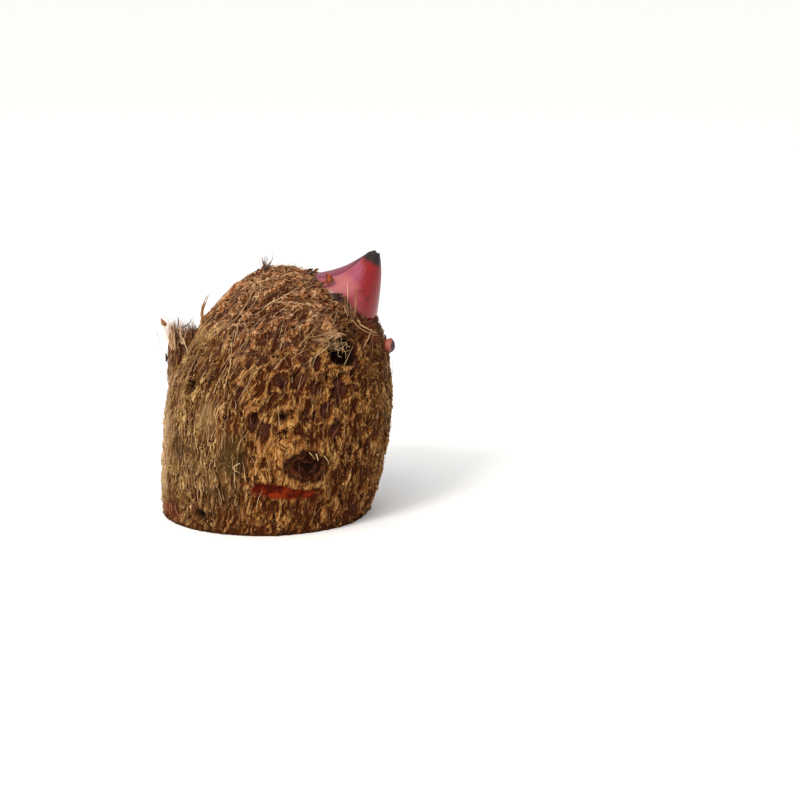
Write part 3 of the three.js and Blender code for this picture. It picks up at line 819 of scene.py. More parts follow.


# Soft spots on the sheath: a painted highlight on its shoulder and a purple-pink tone above it, and the dark
# flecks of grime.
SHEATH_SHEEN_AND_TONE = [
    ((35, -15, 104), (9, 12, 6), "#a85f60", 0.75),
    ((44, -10, 109), (6, 12, 6), "#8c4058", 0.7),
]
SHEATH_FLECKS = [
    ((46.2, -9, 97.5), (1.6, 4, 1.3), "#3f0d0c", 0.9),
    ((52, -5, 96), (1.2, 4, 1.5), "#3f1a12", 0.8),
    ((40, -12, 95), (1, 4, 1), "#4a1512", 0.8),
    ((43.4, -10, 101), (2.4, 5, 0.8), "#5a1214", 0.6),
]


def waxy_sheath():
    """Young leaf sheath: smooth, waxy and slightly see-through, pink where thin and red where thick."""
    material, tree, shader = surface("waxy leaf sheath", {
        "Roughness": 0.3, "Specular IOR Level": 0.3, "Coat Weight": 0.08, "Coat Roughness": 0.3,
        "Subsurface Weight": 0.15, "Subsurface Radius": (1.0, 0.35, 0.3), "Subsurface Scale": 0.002})
    vein, _ = leaf_veins(tree)
    place, east, height = place_mm(tree)
    cloud = noise(tree, place, (1, 1, 1), size=6.0, detail=3.0, roughness=0.5)
    # The red side begins 45 mm right of the cut face's middle, and its edge wanders a little.
    red = between(tree, summed(tree, east, [(cloud, 6.0)]), 44.5, 49.5)
    # The tip is dry, and more so down its right side.
    tip = between(tree, summed(tree, height, [(cloud, 5.0), (east, 0.55)]), 139.6, 143.2)
    foot = between(tree, height, 104.0, 92.0, 0.55)
    light_vein = {"Value": vein, "From Min": 0.5, "From Max": 0.75, "To Max": 0.12}
    light_vein = add(tree, "ShaderNodeMapRange", light_vein)
    dark_vein = {"Value": vein, "From Min": 0.48, "From Max": 0.3, "To Max": 0.15}
    dark_vein = add(tree, "ShaderNodeMapRange", dark_vein)
    colour = coat_over(tree, hex_colour("#93404a"), [
        (light_vein, "#b87272"), (dark_vein, "#7c2a30"), (foot, "#8c2026")])
    # The soft spots paint a highlight on the shoulder and lay a purple-pink tone above it.
    colour = spotted(tree, colour, place, cloud, SHEATH_SHEEN_AND_TONE)
    colour = coat_over(tree, colour, [(red, "#7e0a10"), (tip, "#1a0f0c")])
    colour = spotted(tree, colour, place, vein, SHEATH_FLECKS)
    coated(tree, shader, colour, vein, 0.25, 0.3)
    return material


def dusky_leaf():
    """The rolled leaf: the same wax over a greyer purple, darker at the tip."""
    material, tree, shader = surface("waxy rolled leaf", {
        "Roughness": 0.45, "Specular IOR Level": 0.3, "Coat Weight": 0.05})
    vein, up = leaf_veins(tree)
    pale = {"Value": vein, "From Min": 0.4, "From Max": 0.7, "To Max": 0.6}
    pale = add(tree, "ShaderNodeMapRange", pale)
    colour = coat_over(tree, hex_colour("#6c2a3b"), [
        (pale, "#8c4357"), (between(tree, up, 16.0, 32.0), "#2c1d1c")])
    coated(tree, shader, colour, vein, 0.3, 0.3)
    return material


def bud_skin():
    """A bud's tender scales: satin, salmon pink with a dark dry side."""
    material, tree, shader = surface("tender bud scale", {
        "Roughness": 0.42, "Subsurface Weight": 0.2, "Subsurface Radius": (1.0, 0.4, 0.3),
        "Subsurface Scale": 0.001})
    place, east, height = place_mm(tree)
    grime = noise(tree, place, (1, 1, 1), size=1.6, detail=3.0, roughness=0.5)
    dry = between(tree, summed(tree, east, [(grime, 1.5)]), 57.2, 58.2)
    low = {"Value": height, "From Min": 74.6, "From Max": 73.0, "To Max": 0.8}
    low = add(tree, "ShaderNodeMapRange", low)
    colour = coat_over(tree, hex_colour("#9c5342"), [
        (grime, "#8a4234"), (dry, "#33181a"), (low, "#521a14")])
    tree.links.new(colour, shader.inputs["Base Color"])
    return material


FIBRE_END_SPACING = 1.5


def cut_flesh():
    """Freshly cut taro flesh: matt and moist, pinkish white with short purple fibre ends."""
    material, tree, shader = surface("cut taro flesh", {
        "Roughness": 0.5, "Subsurface Weight": 0.15, "Subsurface Scale": 0.002})
    place, _, _ = place_mm(tree)
    centre = add(tree, "ShaderNodeVectorMath", {0: place, 1: (0.5, 0, 0)}, operation="SUBTRACT")
    radius = add(tree, "ShaderNodeVectorMath", {0: centre}, "Value", operation="LENGTH")
    cloud = noise(tree, place, (1, 1, 1), size=9.0, detail=4.0, roughness=0.5)
    heart = between(tree, summed(tree, radius, [(cloud, 26.0)]), 44.0, 26.0)
    rim = between(tree, radius, 41.5, 44.8, 0.85)
    # The fibre ends differ in size, and are 0.8 mm across at the most.
    dots = {"Vector": place, "Scale": 1 / FIBRE_END_SPACING}
    dots = add(tree, "ShaderNodeTexVoronoi", dots, "Distance", feature="F1")
    kind = add(tree, "ShaderNodeSeparateXYZ", {0: dots.node.outputs["Color"]}, "X")
    size = {"Value": kind, "From Min": 0.4, "From Max": 1.0, "To Min": 0.0, "To Max": 0.3}
    size = add(tree, "ShaderNodeMapRange", size)
    dot = add(tree, "ShaderNodeMath", {0: size, 1: dots}, operation="SUBTRACT")
    dot = {"Value": dot, "From Min": 0.0, "From Max": 0.12, "To Max": 0.8}
    dot = add(tree, "ShaderNodeMapRange", dot)
    colour = coat_over(tree, hex_colour("#f3dcd4"), [
        (cloud, "#efd0c6"), (heart, "#e6b9bb"), (dot, "#a8586c"), (rim, "#c98f9a")])
    coated(tree, shader, colour, cloud, 0.2, 0.2)
    return material


def dry_fibre():
    """Dry plant fibre: dull dark brown over straw to near white, each one its own shade."""
    material, tree, shader = surface("dry plant fibre", {"Roughness": 0.7, "Specular IOR Level": 0.3})
    shade = add(tree, "ShaderNodeAttribute", attribute_name="shade", out="Fac")
    coats = []
    for low, high, colour in ((0.15, 0.55, "#8e5a33"), (0.6, 1.0, "#e4bf8d"), (1.0, 1.5, "#f0e6d2")):
        mask = add(tree, "ShaderNodeMapRange", {"Value": shade, "From Min": low, "From Max": high})
        coats.append((mask, colour))
    colour = coat_over(tree, hex_colour("#3b1a0b"), coats)
    tree.links.new(colour, shader.inputs["Base Color"])
    return material


fibre_material = dry_fibre()


def scatter_tree():
    """Geometry Nodes: sows thin bent fibres over the skin, lying along its growth."""
    tree, given, keys = new_tree("sown fibres", [
        ("Count per square metre", "Float", 1000.0), ("Length", "Float", 0.007),
        ("Thickness", "Float", 0.00012), ("Arch", "Float", 0.1), ("Lift", "Float", 0.1),
        ("Splay", "Float", 0.35), ("Darkest", "Float", 0.0), ("Lightest", "Float", 1.0),
        ("Seed", "Int", 1)])
    sown = add(tree, "GeometryNodeInputNamedAttribute", {"Name": "sown"}, data_type="FLOAT")
    flow = {"Name": "flow"}
    flow = add(tree, "GeometryNodeInputNamedAttribute", flow, data_type="FLOAT_VECTOR")
    density = where_all(tree, sown, given["Count per square metre"])
    points = add(tree, "GeometryNodeDistributePointsOnFaces",
                 {"Mesh": given["Geometry"], "Density": density, "Seed": given["Seed"]},
                 distribute_method="RANDOM")
    normal = points.node.outputs["Normal"]
    # One fibre of unit length stands on its root and arches over; three sides taper to a point.
    arch = add(tree, "ShaderNodeCombineXYZ", {"X": given["Arch"], "Z": 0.55})
    line = add(tree, "GeometryNodeCurveQuadraticBezier",
               {"Resolution": 4, "Start": (0, 0, -0.06), "Middle": arch, "End": (0, 0, 1)})
    along = add(tree, "GeometryNodeSplineParameter", out="Factor")
    taper = add(tree, "ShaderNodeMapRange", {"Value": along, "To Min": 1.0, "To Max": 0.25})
    thin = add(tree, "ShaderNodeMath", {0: given["Thickness"], 1: given["Length"]}, operation="DIVIDE")
    section = add(tree, "GeometryNodeCurvePrimitiveCircle", {"Resolution": 3, "Radius": thin})
    fibre = add(tree, "GeometryNodeCurveToMesh",
                {"Curve": line, "Profile Curve": section, "Scale": taper, "Fill Caps": True})
    facing = add(tree, "FunctionNodeAxesToRotation", {"Primary Axis": flow, "Secondary Axis": normal},
                 primary_axis="Z", secondary_axis="X")
    low = add(tree, "ShaderNodeMath", {0: given["Splay"], 1: -1.0}, operation="MULTIPLY")
    least = add(tree, "ShaderNodeCombineXYZ", {"X": low, "Y": given["Lift"], "Z": -0.6})
    most = add(tree, "ShaderNodeCombineXYZ", {"X": given["Splay"], "Y": 0.0, "Z": 0.6})
    swing = add(tree, "FunctionNodeRandomValue", {0: least, 1: most, "Seed": given["Seed"]},
                data_type="FLOAT_VECTOR")
    turned = add(tree, "FunctionNodeRotateRotation", {"Rotation": facing, "Rotate By": swing},
                 rotation_space="LOCAL")
    size = add(tree, "FunctionNodeRandomValue", {2: 0.35, 3: 1.3, "Seed": 7}, 1, data_type="FLOAT")
    size = add(tree, "ShaderNodeMath", {0: size, 1: given["Length"]}, operation="MULTIPLY")
    stood = add(tree, "GeometryNodeInstanceOnPoints",
                {"Points": points, "Instance": fibre, "Rotation": turned, "Scale": size})
    shade = add(tree, "FunctionNodeRandomValue", {2: given["Darkest"], 3: given["Lightest"], "Seed": 3}, 1,
                data_type="FLOAT")
    kept = add(tree, "GeometryNodeStoreNamedAttribute",
               {"Geometry": stood, "Name": "shade", "Value": shade}, data_type="FLOAT", domain="INSTANCE")
    end_tree(tree, given, kept)
    return tree, keys


sown_fibres, sown_keys = scatter_tree()


def sow(name, ground, where, per_area, length, thickness, arch, lift, splay, shades, seed):
    """A piece of fibres sown over a ground mesh, as thickly as the mask says at each point."""
    piece = placed(name, ground.data.copy())
    store(piece, "sown", where)
    return run_tree(piece, sown_fibres, sown_keys, {
        "Count per square metre": per_area / MM ** 2, "Length": length * MM, "Thickness": thickness * MM,
        "Arch": arch, "Lift": lift, "Splay": splay, "Darkest": shades[0], "Lightest": shades[1],
        "Seed": seed, "Material": fibre_material})


def points_of(piece):
    """The points of a mesh, in millimetres."""
    places = np.empty(len(piece.data.vertices) * 3, np.float32)
    piece.data.vertices.foreach_get("co", places)
    return places.reshape(-1, 3) / MM


def mask_of(piece, name):
    """A number that a mesh keeps for each of its points."""
    values = np.empty(len(piece.data.vertices), np.float32)
    piece.data.attributes[name].data.foreach_get("value", values)
    return values


# Fibres grow thick where the skin is combed or felted, and not on the cut edge, nick or scar.
above_cut = points_of(corm_skin)[:, 2] > 1.5
whole_skin = 1 - np.maximum(mask_of(corm_skin, "nick"), mask_of(corm_skin, "scar"))
hairy = 0.25 + 0.75 * np.maximum(mask_of(corm_skin, "combed"), mask_of(corm_skin, "felted"))
growing = above_cut * whole_skin * smooth(mask_of(corm_skin, "room"), 0, 0.2) * hairy
stub_side = 1 - mask_of(stub_skin, "pit")
stub_rim = smooth(points_of(stub_skin)[:, 2], 76.5, 79) * (stub_side > 0.5)
# Each row gives the ground, the mask, the count on a square millimetre, and in millimetres the
# length and thickness; then the arch, lift and splay, the range of shades and the seed.
lying_fibres, raised_fibres, stub_fibres, stub_brush = [sow(*row) for row in (
    ("lying_fibres", corm_skin, growing, 0.08, 10.0, 0.12, 0.05, -0.16, 0.3, (0.1, 0.95), 4),
    ("raised_fibres", corm_skin, growing, 0.016, 6.0, 0.09, 0.3, -0.8, 0.9, (0.4, 1.0), 9),
    ("stub_fibres", stub_skin, stub_side, 0.5, 6.0, 0.13, 0.1, -0.25, 0.4, (0.0, 0.8), 5),
    ("stub_brush", stub_skin, stub_rim, 2.0, 4.5, 0.13, 0.25, -0.5, 0.45, (0.0, 0.7), 6))]


DROP_HEIGHT = 12.0  # how far outside the skin the points of a hair start
DROP_REACH = 30.0  # how far they may fall


def hair_tree():
    """Geometry Nodes: lays lines on the skin where they are to hug it, and gives them thickness."""
    tree, given, keys = new_tree("laid hairs", [("Skin", "Object", None), ("Sides", "Int", 4)])
    kinds = {"out": "FLOAT_VECTOR", "lift": "FLOAT", "thick": "FLOAT", "hugs": "FLOAT"}
    read = {name: add(tree, "GeometryNodeInputNamedAttribute", {"Name": name}, data_type=kind)
            for name, kind in kinds.items()}
    here = add(tree, "GeometryNodeInputPosition")
    # Each point is dropped onto the skin from outside it.
    above = {0: read["out"], "Scale": DROP_HEIGHT * MM}
    above = add(tree, "ShaderNodeVectorMath", above, operation="SCALE")
    above = add(tree, "ShaderNodeVectorMath", {0: here, 1: above}, operation="ADD")
    down = add(tree, "ShaderNodeVectorMath", {0: read["out"], "Scale": -1.0}, operation="SCALE")
    skin = {"Object": given["Skin"]}
    skin = add(tree, "GeometryNodeObjectInfo", skin, "Geometry", transform_space="RELATIVE")
    found = {"Target Geometry": skin, "Source Position": above, "Ray Direction": down,
             "Ray Length": DROP_REACH * MM}
    found = add(tree, "GeometryNodeRaycast", found).node.outputs
    metres = add(tree, "ShaderNodeMath", {0: read["lift"], 1: MM}, operation="MULTIPLY")
    raised = add(tree, "ShaderNodeVectorMath", {0: read["out"], "Scale": metres}, operation="SCALE")
    laid = {0: found["Hit Position"], 1: raised}
    laid = add(tree, "ShaderNodeVectorMath", laid, operation="ADD")
    hugging = add(tree, "FunctionNodeBooleanMath", {0: found["Is Hit"], 1: read["hugs"]})
    place = {"Switch": hugging, "False": here, "True": laid}
    place = add(tree, "GeometryNodeSwitch", place, input_type="VECTOR")
    moved = add(tree, "GeometryNodeSetPosition", {"Geometry": given["Geometry"], "Position": place})
    line = add(tree, "GeometryNodeMeshToCurve", {"Mesh": moved})
    radius = add(tree, "ShaderNodeMath", {0: read["thick"], 1: MM}, operation="MULTIPLY")
    section = add(tree, "GeometryNodeCurvePrimitiveCircle", {"Resolution": given["Sides"], "Radius": 1.0})
    swept = add(tree, "GeometryNodeCurveToMesh",
                {"Curve": line, "Profile Curve": section, "Scale": radius, "Fill Caps": True})
    end_tree(tree, given, swept)
    return tree, keys


laid_hairs, laid_keys = hair_tree()


def line_of(points, thick, shade, out=(0, 0, 1), lift=0.0, hugs=False):
    """What the hair tree needs to know of one line, point by point."""
    count = len(points)
    return {"points": points, "out": np.broadcast_to(out, (count, 3)),
            "lift": np.broadcast_to(lift, count), "thick": np.broadcast_to(thick, count),
            "shade": np.full(count, shade), "hugs": np.full(count, float(hugs))}


def tapered(count, thick):
    """The thickness of a hair from its root to its fine tip."""
    return thick * (1 - 0.75 * np.linspace(0, 1, count) ** 2)


def hair_over(stops, thick, shade, lift=(0.1, 0.5, 0.3)):
    """A hair that hugs the corm through stops, each a turn in degrees and a share of the growth."""
    stops = np.asarray(stops, float)
    shares = np.linspace(0, 1, 6 * len(stops))
    turn, share = spline(stops * (math.pi / 180, 1), shares).T
    out, _, _ = frame_on(CORM, turn, share)
    raised = spline(np.asarray(lift, float)[:, None], shares)[:, 0]
    points = on_form(CORM, turn, share)
    return line_of(points, tapered(len(shares), thick), shade, out, raised, True)


STRAND_POINTS = 9


def strand(stops, thick, shade):
    """A strand in the open air through stops in millimetres."""
    points = spline(stops, np.linspace(0, 1, STRAND_POINTS))
    return line_of(points, tapered(STRAND_POINTS, thick), shade)


def swollen(stops, thin, swell, shade, arc=(0.0, 1.0), power=1):
    """A short piece in the open air that swells along a part of a sine's arch."""
    points = spline(stops, np.linspace(0, 1, STRAND_POINTS))
    arch = np.sin(math.pi * np.linspace(*arc, STRAND_POINTS)) ** power
    return line_of(points, thin + swell * arch, shade)


def bundle(stops, count, spread, thick, shades, seed):
    """Strands side by side that part towards their tips."""
    draw = np.random.default_rng(seed)
    made = []
    for _ in range(count):
        shift = draw.normal(size=3) * spread
        reach = draw.uniform(0.55, 1.0)
        points = spline(stops, np.linspace(0, reach, STRAND_POINTS))
        points = points + shift * (0.35 + np.linspace(0, 1, STRAND_POINTS)[:, None] ** 1.5)
        points[1:-1] += draw.normal(size=(STRAND_POINTS - 2, 3)) * 0.12
        thickness = tapered(STRAND_POINTS, thick * draw.uniform(0.6, 1.3))
        made.append(line_of(points, thickness, draw.uniform(*shades)))
    return made


HAIR_STEP = 1.3


def wandering_hairs(count, turns, shares, lengths, slants, thick, shades, seed):
    """Long hairs that start anywhere in a field of the skin and wander along the growth."""
    draw = np.random.default_rng(seed)
    made = []
    for _ in range(count):
        turn, share = math.radians(draw.uniform(*turns)), draw.uniform(*shares)
        slant, bend = math.radians(draw.uniform(*slants)), draw.normal() * 0.05
        path = [(turn, share)]
        for _ in range(int(draw.uniform(*lengths) / HAIR_STEP)):
            width = max(4.0, float(spline(CORM["half_depth"], share)[0]))
            share += HAIR_STEP * math.cos(slant) / GROWTH_LENGTH
            turn += HAIR_STEP * math.sin(slant) / width
            slant += bend + draw.normal() * 0.06
            if not 0.01 < share < 0.96:
                break
            path.append((turn, share))
        if len(path) < 4:
            continue
        turn, share = np.array(path).T
        out, _, _ = frame_on(CORM, turn, share)
        along = np.linspace(0, 1, len(path))
        lift = 0.12 + draw.uniform(0, 0.9) * np.sin(math.pi * along) ** 2 + draw.uniform(0, 1.0) * along ** 6
        thickness = tapered(len(path), thick * draw.uniform(0.6, 1.4))
        points = on_form(CORM, turn, share)
        made.append(line_of(points, thickness, draw.uniform(*shades), out, lift, True))
    return made


def curls(eye, count, seed):
    """Fine curly rootlets in the upper half of an eye."""
    draw = np.random.default_rng(seed)
    middle, out, along, across = eye_frame(eye)
    made = []
    for _ in range(count):
        centre = (middle + across * (draw.normal() * 0.28 - 0.2) * eye["width"]
                  + along * (draw.normal() * 0.2 + 0.3) * eye["height"] + out * draw.uniform(-1.5, 0.2))
        first, second, drift = unit(draw.normal(size=(3, 3)))
        arc = np.linspace(0, draw.uniform(1.5, 3.6), 12)[:, None]
        radius = draw.uniform(0.6, 1.6)
        points = centre + radius * (np.cos(arc) * first + np.sin(arc) * second) + arc * 0.6 * drift
        made.append(line_of(points, tapered(len(arc), 0.1), draw.uniform(0.6, 1.0)))
    return made


def hairs(name, lines, sides):
    """A piece of hairs from their lines."""
    starts = np.cumsum([0] + [len(line["points"]) for line in lines])
    edges = [(i, i + 1) for a, b in zip(starts, starts[1:]) for i in range(a, b - 1)]
    mesh = bpy.data.meshes.new(name)
    mesh.from_pydata((np.vstack([line["points"] for line in lines]) * MM).tolist(), edges, [])
    piece = placed(name, mesh)
    for key in ("out", "lift", "thick", "shade", "hugs"):
        store(piece, key, np.concatenate([line[key] for line in lines]))
    return run_tree(piece, laid_hairs, laid_keys, {
        "Skin": corm_skin, "Sides": sides, "Material": fibre_material})


# The long hairs that stand out, then those that wander over the dome, the left side and the back.
long_hairs = hairs("long_hairs", [
    hair_over([(-191.5, 0.862), (-148, 0.81), (-137.5, 0.763), (-137.5, 0.708)], 0.18, 1.0),
    hair_over([(-137.5, 0.708), (-133.5, 0.662), (-129.8, 0.625), (-124, 0.558)], 0.18, 1.0),
    hair_over([(-186, 0.87), (-150, 0.79), (-141, 0.72), (-140, 0.66)], 0.18, 0.85),
    hair_over([(-123.2, 0.882), (-125.5, 0.83), (-125.8, 0.782), (-129, 0.738), (-133.5, 0.713)], 0.2, 1.0),
    hair_over([(-100, 0.87), (-112, 0.84), (-124, 0.8), (-133, 0.74)], 0.26, 0.85),
    hair_over([(-69.8, 0.793), (-74, 0.72), (-84.8, 0.622)], 0.16, 1.0, (0.2, 1.4, 0.2)),
    hair_over([(-72, 0.8), (-80, 0.76), (-90, 0.72)], 0.14, 0.9, (0.2, 1.0, 0.2)),
    hair_over([(-66, 0.8), (-74, 0.76), (-80, 0.71)], 0.13, 0.95, (0.2, 1.0, 0.4)),
    hair_over([(-124.8, 0.58), (-121, 0.52), (-118.8, 0.453)], 0.2, 0.95),
    hair_over([(-105, 0.262), (-107.5, 0.245), (-104, 0.225)], 0.2, 1.0, (0.3, 0.9, 0.3)),
    hair_over([(-68, 0.315), (-66, 0.285)], 0.2, 1.0, (0.3, 1.4, 0.8)),
    hair_over([(-71.5, 0.32), (-68.5, 0.3)], 0.16, 1.0, (0.3, 1.2, 0.8)),
    hair_over([(-64, 0.31), (-60.5, 0.28)], 0.18, 0.95, (0.3, 1.4, 0.8)),
    hair_over([(-35, 0.9), (-40, 0.84), (-44, 0.78), (-45, 0.73)], 0.42, 0.7, (0.2, 0.4, 0.2)),
    hair_over([(-30, 0.9), (-34, 0.84), (-38, 0.78), (-42, 0.74)], 0.3, 0.6, (0.2, 0.4, 0.2)),
    hair_over([(-60, 0.93), (-50, 0.9), (-38, 0.885), (-24, 0.88)], 0.5, 0.75, (0.3, 0.5, 0.2)),
    hair_over([(-66, 0.91), (-52, 0.875), (-38, 0.86), (-22, 0.86)], 0.4, 0.65, (0.3, 0.4, 0.2)),
    *wandering_hairs(230, (-15, 290), (0.58, 0.9), (5, 17), (-45, 45), 0.13, (0.35, 0.95), 41),
    *wandering_hairs(46, (-76, -63), (0.73, 0.8), (4, 13), (-135, -100), 0.09, (0.5, 0.85), 45),
    *wandering_hairs(150, (-170, -105), (0.1, 0.6), (5, 16), (-10, 14), 0.13, (0.5, 1.0), 42),
    *wandering_hairs(90, (-105, 190), (0.05, 0.6), (4, 12), (-25, 25), 0.13, (0.3, 1.0), 43),
    *wandering_hairs(160, (-15, 290), (0.62, 0.92), (4, 12), (-70, 70), 0.28, (0.0, 0.4), 44),
], 3)

loose_strands = hairs("loose_strands", [
    # The strip that stands up beside the stub, forked at its tip.
    *bundle([(-26.4, -3, 82), (-26.2, -3, 89), (-25.2, -3, 94), (-23, -3, 98.6)],
            14, 0.26, 0.38, (0.35, 0.8), 51),
    *bundle([(-26.6, -3, 84), (-26.4, -3, 89), (-25.6, -3, 93.4)], 5, 0.2, 0.26, (0.2, 0.5), 52),
    # The pale bundle and the single hairs of the stub.
    *bundle([(-38.4, -8, 75), (-39.8, -7.5, 81), (-42.2, -6, 88.5)], 56, 1.3, 0.09, (0.6, 1.2), 53),
    *bundle([(-35, -7, 77), (-35.6, -6, 81.5), (-36.4, -5, 85.4)], 44, 1.5, 0.14, (0.3, 1.3), 54),
    *bundle([(-31.5, -5, 76.5), (-31.4, -4, 80), (-31.6, -3, 83.4)], 34, 1.5, 0.14, (0.0, 0.5), 55),
    strand([(-35.5, -9, 79), (-38.5, -8, 83), (-40.4, -7, 86.4)], 0.22, 0.05),
    strand([(-34.5, -5, 83.6), (-32.2, -4, 85.2), (-30.2, -4, 87.9)], 0.24, 0.0),
    strand([(-36.9, -3, 84), (-36.9, -2, 86), (-37, -2, 87.8)], 0.34, 0.0),
    strand([(-34.4, -10, 80), (-32.6, -11, 75), (-31.2, -12, 69.5)], 0.22, 1.0),
    strand([(-46.6, -1, 81.5), (-45.5, -1, 74.8), (-42.5, -1, 68)], 0.1, 0.6),
    # The flake at the stub's left end, and the dark knot below it.
    swollen([(-42.2, -5, 84.6), (-43.3, -6, 86.3), (-44.1, -6, 88.1)], 0.12, 1.0, 0.6, (0.25, 0.98), 2),
    swollen([(-42.9, -1, 67.4), (-42.5, -1, 69), (-42.9, -1, 71.4)], 0.1, 0.5, 0.0),
    # The tuft on the highest point of the dome.
    *bundle([(1.5, -3, 106.5), (2.2, -1, 110), (2.8, 0, 112.6)], 26, 1.1, 0.22, (0.0, 0.4), 56),
    *bundle([(-2, -4, 105), (0, -2, 108.5), (3.5, 0, 111.6)], 14, 0.9, 0.2, (0.2, 0.8), 57),
    strand([(1.4, -2, 107), (1.6, 0, 111), (2.4, 0, 114)], 0.16, 0.25),
    strand([(3.6, -2, 107), (4.0, 0, 111), (4.8, 0, 114), (5.2, 0, 117)], 0.13, 0.5),
    # Two strands before the shoot, and the tangle at its foot.
    *bundle([(41.2, -18.5, 92), (41.6, -19, 99), (41.9, -18, 107.8)], 5, 0.15, 0.34, (0.5, 0.8), 58),
    strand([(38.2, -18.5, 95), (38.2, -19, 101), (37.9, -17.5, 106.2)], 0.12, 1.0),
    *bundle([(36, -19, 92.5), (36.6, -20, 95.5), (35.8, -19, 99)], 22, 1.5, 0.24, (0.0, 0.9), 59),
    *bundle([(39, -20, 89.5), (39.6, -20.5, 92.5), (39, -20, 96.5)], 22, 1.5, 0.24, (0.0, 0.9), 60),
    *curls(EYES[0], 34, 61),
], 5)


def merged(name, shells, shades):
    """One piece from closed shells, each with its own shade."""
    points, faces, tones = [], [], []
    for (places, sides), shade in zip(shells, shades):
        start = sum(len(p) for p in points)
        points.append(places)
        faces += [tuple(int(i) + start for i in face) for face in sides]
        tones.append(np.full(len(places), shade))
    piece = build(name, np.vstack(points), faces)
    store(piece, "shade", np.concatenate(tones))
    return piece


def dry_scale(root, way, face, length, width, curl, seed):
    """A papery scale that stands on its root, ragged at its tip and curled back."""
    draw = np.random.default_rng(seed)
    across, up = np.meshgrid(np.linspace(-1, 1, 9), np.linspace(0, 1, 12))
    side = unit(np.cross(way, face))
    ragged = 0.86 + 0.1 * np.sin(7 * across + draw.uniform(0, 6))
    ragged = ragged + 0.08 * np.sin(17 * across + draw.uniform(0, 6))
    reach = up * ragged * length * (1 - 0.35 * across ** 2)
    half = 0.5 * width * (1 - 0.5 * up ** 2)
    bend = 0.18 * width * (1 - across ** 2) - curl * length * up ** 2
    middle = root + reach[..., None] * way + (across * half)[..., None] * side - bend[..., None] * face
    shell = 0.16 * (1 - 0.6 * np.abs(across) ** 3)[..., None] * face
    return plate(middle + shell, middle - shell)


RING_SCALES = 30
# The scales before the shoot that stand taller: degrees round the corm, and length.
TALL_SCALES = [(-104, 6.0), (-100, 7.4), (-96, 8.0), (-92, 7.0), (-88, 6.4), (-82, 5.0), (-72, 5.0)]
AMBER_SCALE_ROOT = (28.4, -13.0, 106.8)


def leaf_bases():
    """The dry bases of old leaves round the foot of the shoot, and one amber scale upon it."""
    draw = np.random.default_rng(71)
    shells, shades = [], []
    ring = [(i + 0.7 * draw.uniform()) / RING_SCALES * 2 * math.pi for i in range(RING_SCALES)]
    stood = [(angle, 0.972, 3.2 + 2.2 * draw.uniform(), 2.2 + 1.6 * draw.uniform(), draw.uniform(0.0, 0.6))
             for angle in ring]
    stood += [(math.radians(degrees), 0.962, length, 2.6, 0.1) for degrees, length in TALL_SCALES]
    for number, (angle, share, length, width, shade) in enumerate(stood):
        out, along, _ = frame_on(CORM, np.array(angle), np.array(share - 0.03))
        way = unit(0.85 * along + 0.4 * out)
        face = unit(out - (out @ way) * way)
        root = on_form(CORM, np.array(angle), np.array(share)) - 0.6 * out - 0.8 * way
        shells.append(dry_scale(root, way, face, length, width, draw.uniform(0.0, 0.35), number))
        shades.append(shade)
    way, face = unit(np.array((0.95, -0.1, -0.15))), unit(np.array((-0.1, -0.85, 0.5)))
    face = unit(face - (face @ way) * way)
    shells.append(dry_scale(np.array(AMBER_SCALE_ROOT), way, face, 4.6, 5.0, 0.12, 99))
    shades.append(1.0)
    return merged("leaf_bases", shells, shades)


def papery_scale():
    """Old leaf base: matt, papery and streaked, grey-brown, with one amber where it is fresh."""
    material, tree, shader = surface("papery leaf base", {
        "Roughness": 0.65, "Specular IOR Level": 0.25})
    shade = add(tree, "ShaderNodeAttribute", attribute_name="shade", out="Fac")
    place, _, _ = place_mm(tree)
    amber = between(tree, shade, 0.8, 1.0)
    streak = noise(tree, place, (1, 1, 0.25), size=0.9, detail=4.0, roughness=0.65)
    colour = coat_over(tree, hex_colour("#3a2620"), [
        (between(tree, streak, 0.45, 0.62, 0.8), "#7a5c48"),
        (between(tree, streak, 0.5, 0.38, 0.7), "#23140f"),
        (between(tree, shade, 0.2, 0.6, 0.8), "#8a5a34"),
        (amber, "#8c3d0d"),
        (where_all(tree, amber, between(tree, streak, 0.55, 0.45)), "#4a1d08"),
    ])
    coated(tree, shader, colour, streak, 0.8, 0.3)
    return material


sheath, leaf, bud, flesh, scales = shoot_sheath(), shoot_leaf(), side_bud(), cut_face(), leaf_bases()
for piece, material in ((sheath, waxy_sheath()), (leaf, dusky_leaf()), (bud, bud_skin()),
                        (flesh, cut_flesh()), (scales, papery_scale())):
    piece.data.materials.append(material)

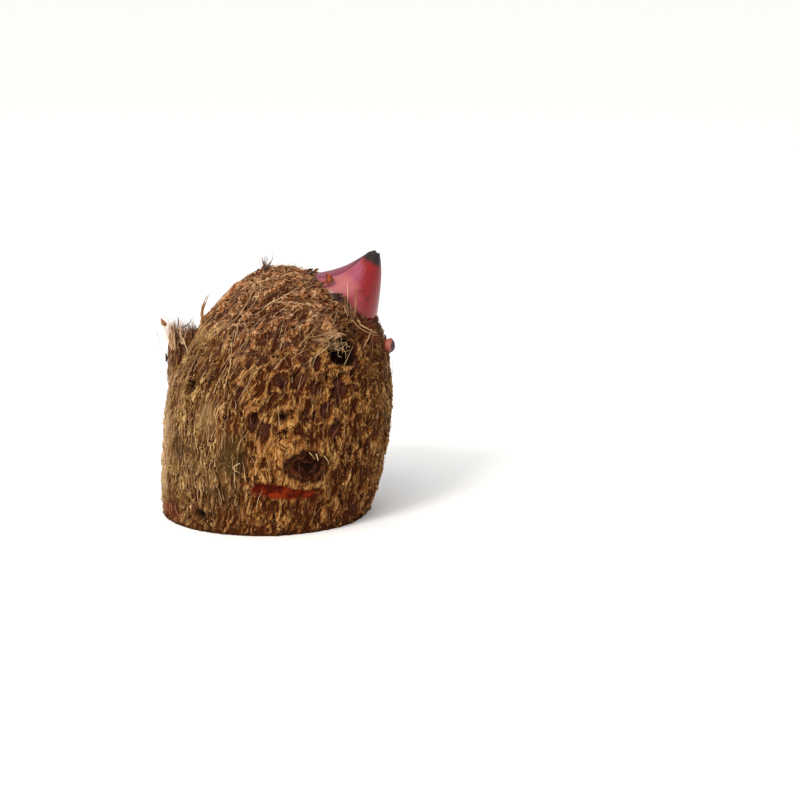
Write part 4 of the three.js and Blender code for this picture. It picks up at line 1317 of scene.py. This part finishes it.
for piece in (corm_skin, stub_skin, flesh, lying_fibres, raised_fibres, stub_fibres, stub_brush,
              long_hairs, loose_strands, scales):
    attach(piece, "root")
    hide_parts("corm")
for piece, node in ((sheath, "shoot_sheath"), (leaf, "shoot_leaf"), (bud, "side_bud")):
    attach(piece, "root")
    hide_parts(node)

# The camera stands where the photograph was taken from: 1 m away, looking 12.7 degrees down.
CAMERA_PLACE = (0.06075, -0.96485, 0.26726)
LOOKS_DOWN = 12.7  # degrees
camera = placed("camera", bpy.data.cameras.new("camera"))
camera.location = CAMERA_PLACE
camera.rotation_euler = (math.radians(90 - LOOKS_DOWN), 0, 0)
camera.data.lens = 100
camera.data.sensor_width = 36
bpy.context.scene.camera = camera

FLOOR = 40000
corners = [(x, y, 0) for x, y in ((-FLOOR, -FLOOR), (FLOOR, -FLOOR), (FLOOR, FLOOR), (-FLOOR, FLOOR))]
floor = build("floor", corners, [(0, 1, 2, 3)])
white_paper = surface("white paper sweep", {"Base Color": hex_colour("#f4f4f3"), "Roughness": 0.8})[0]
floor.data.materials.append(white_paper)

world = bpy.data.worlds.new("studio")
world.use_nodes = True
background = world.node_tree.nodes["Background"]
background.inputs["Color"].default_value = (1, 1, 1, 1)
background.inputs["Strength"].default_value = 0.85
bpy.context.scene.world = world


def window_light(name, kind, energy, way):
    """A faintly warm lamp, turned so that its light comes from the given direction."""
    lamp = bpy.data.lights.new(name, kind)
    lamp.energy = energy
    lamp.color = (1.0, 0.955, 0.9)
    holder = placed(name, lamp)
    holder.rotation_euler = Vector(way).to_track_quat("Z", "Y").to_euler()
    return holder


# A wide soft source, high at the front left, lights the paper as far as it can be seen.
window = window_light("soft window", "SUN", 1.1, (-0.55, -0.75, 1.0))
window.data.angle = math.radians(50)
KEY_PLACE = (-0.5, -0.8, 0.9)
LIT_HEIGHT = 0.05  # of the point of the object that the key light is aimed at
key = window_light("key", "AREA", 9, (KEY_PLACE[0], KEY_PLACE[1], KEY_PLACE[2] - LIT_HEIGHT))
key.data.size = 0.3
key.location = KEY_PLACE
bpy.context.scene.view_settings.view_transform = "Standard"
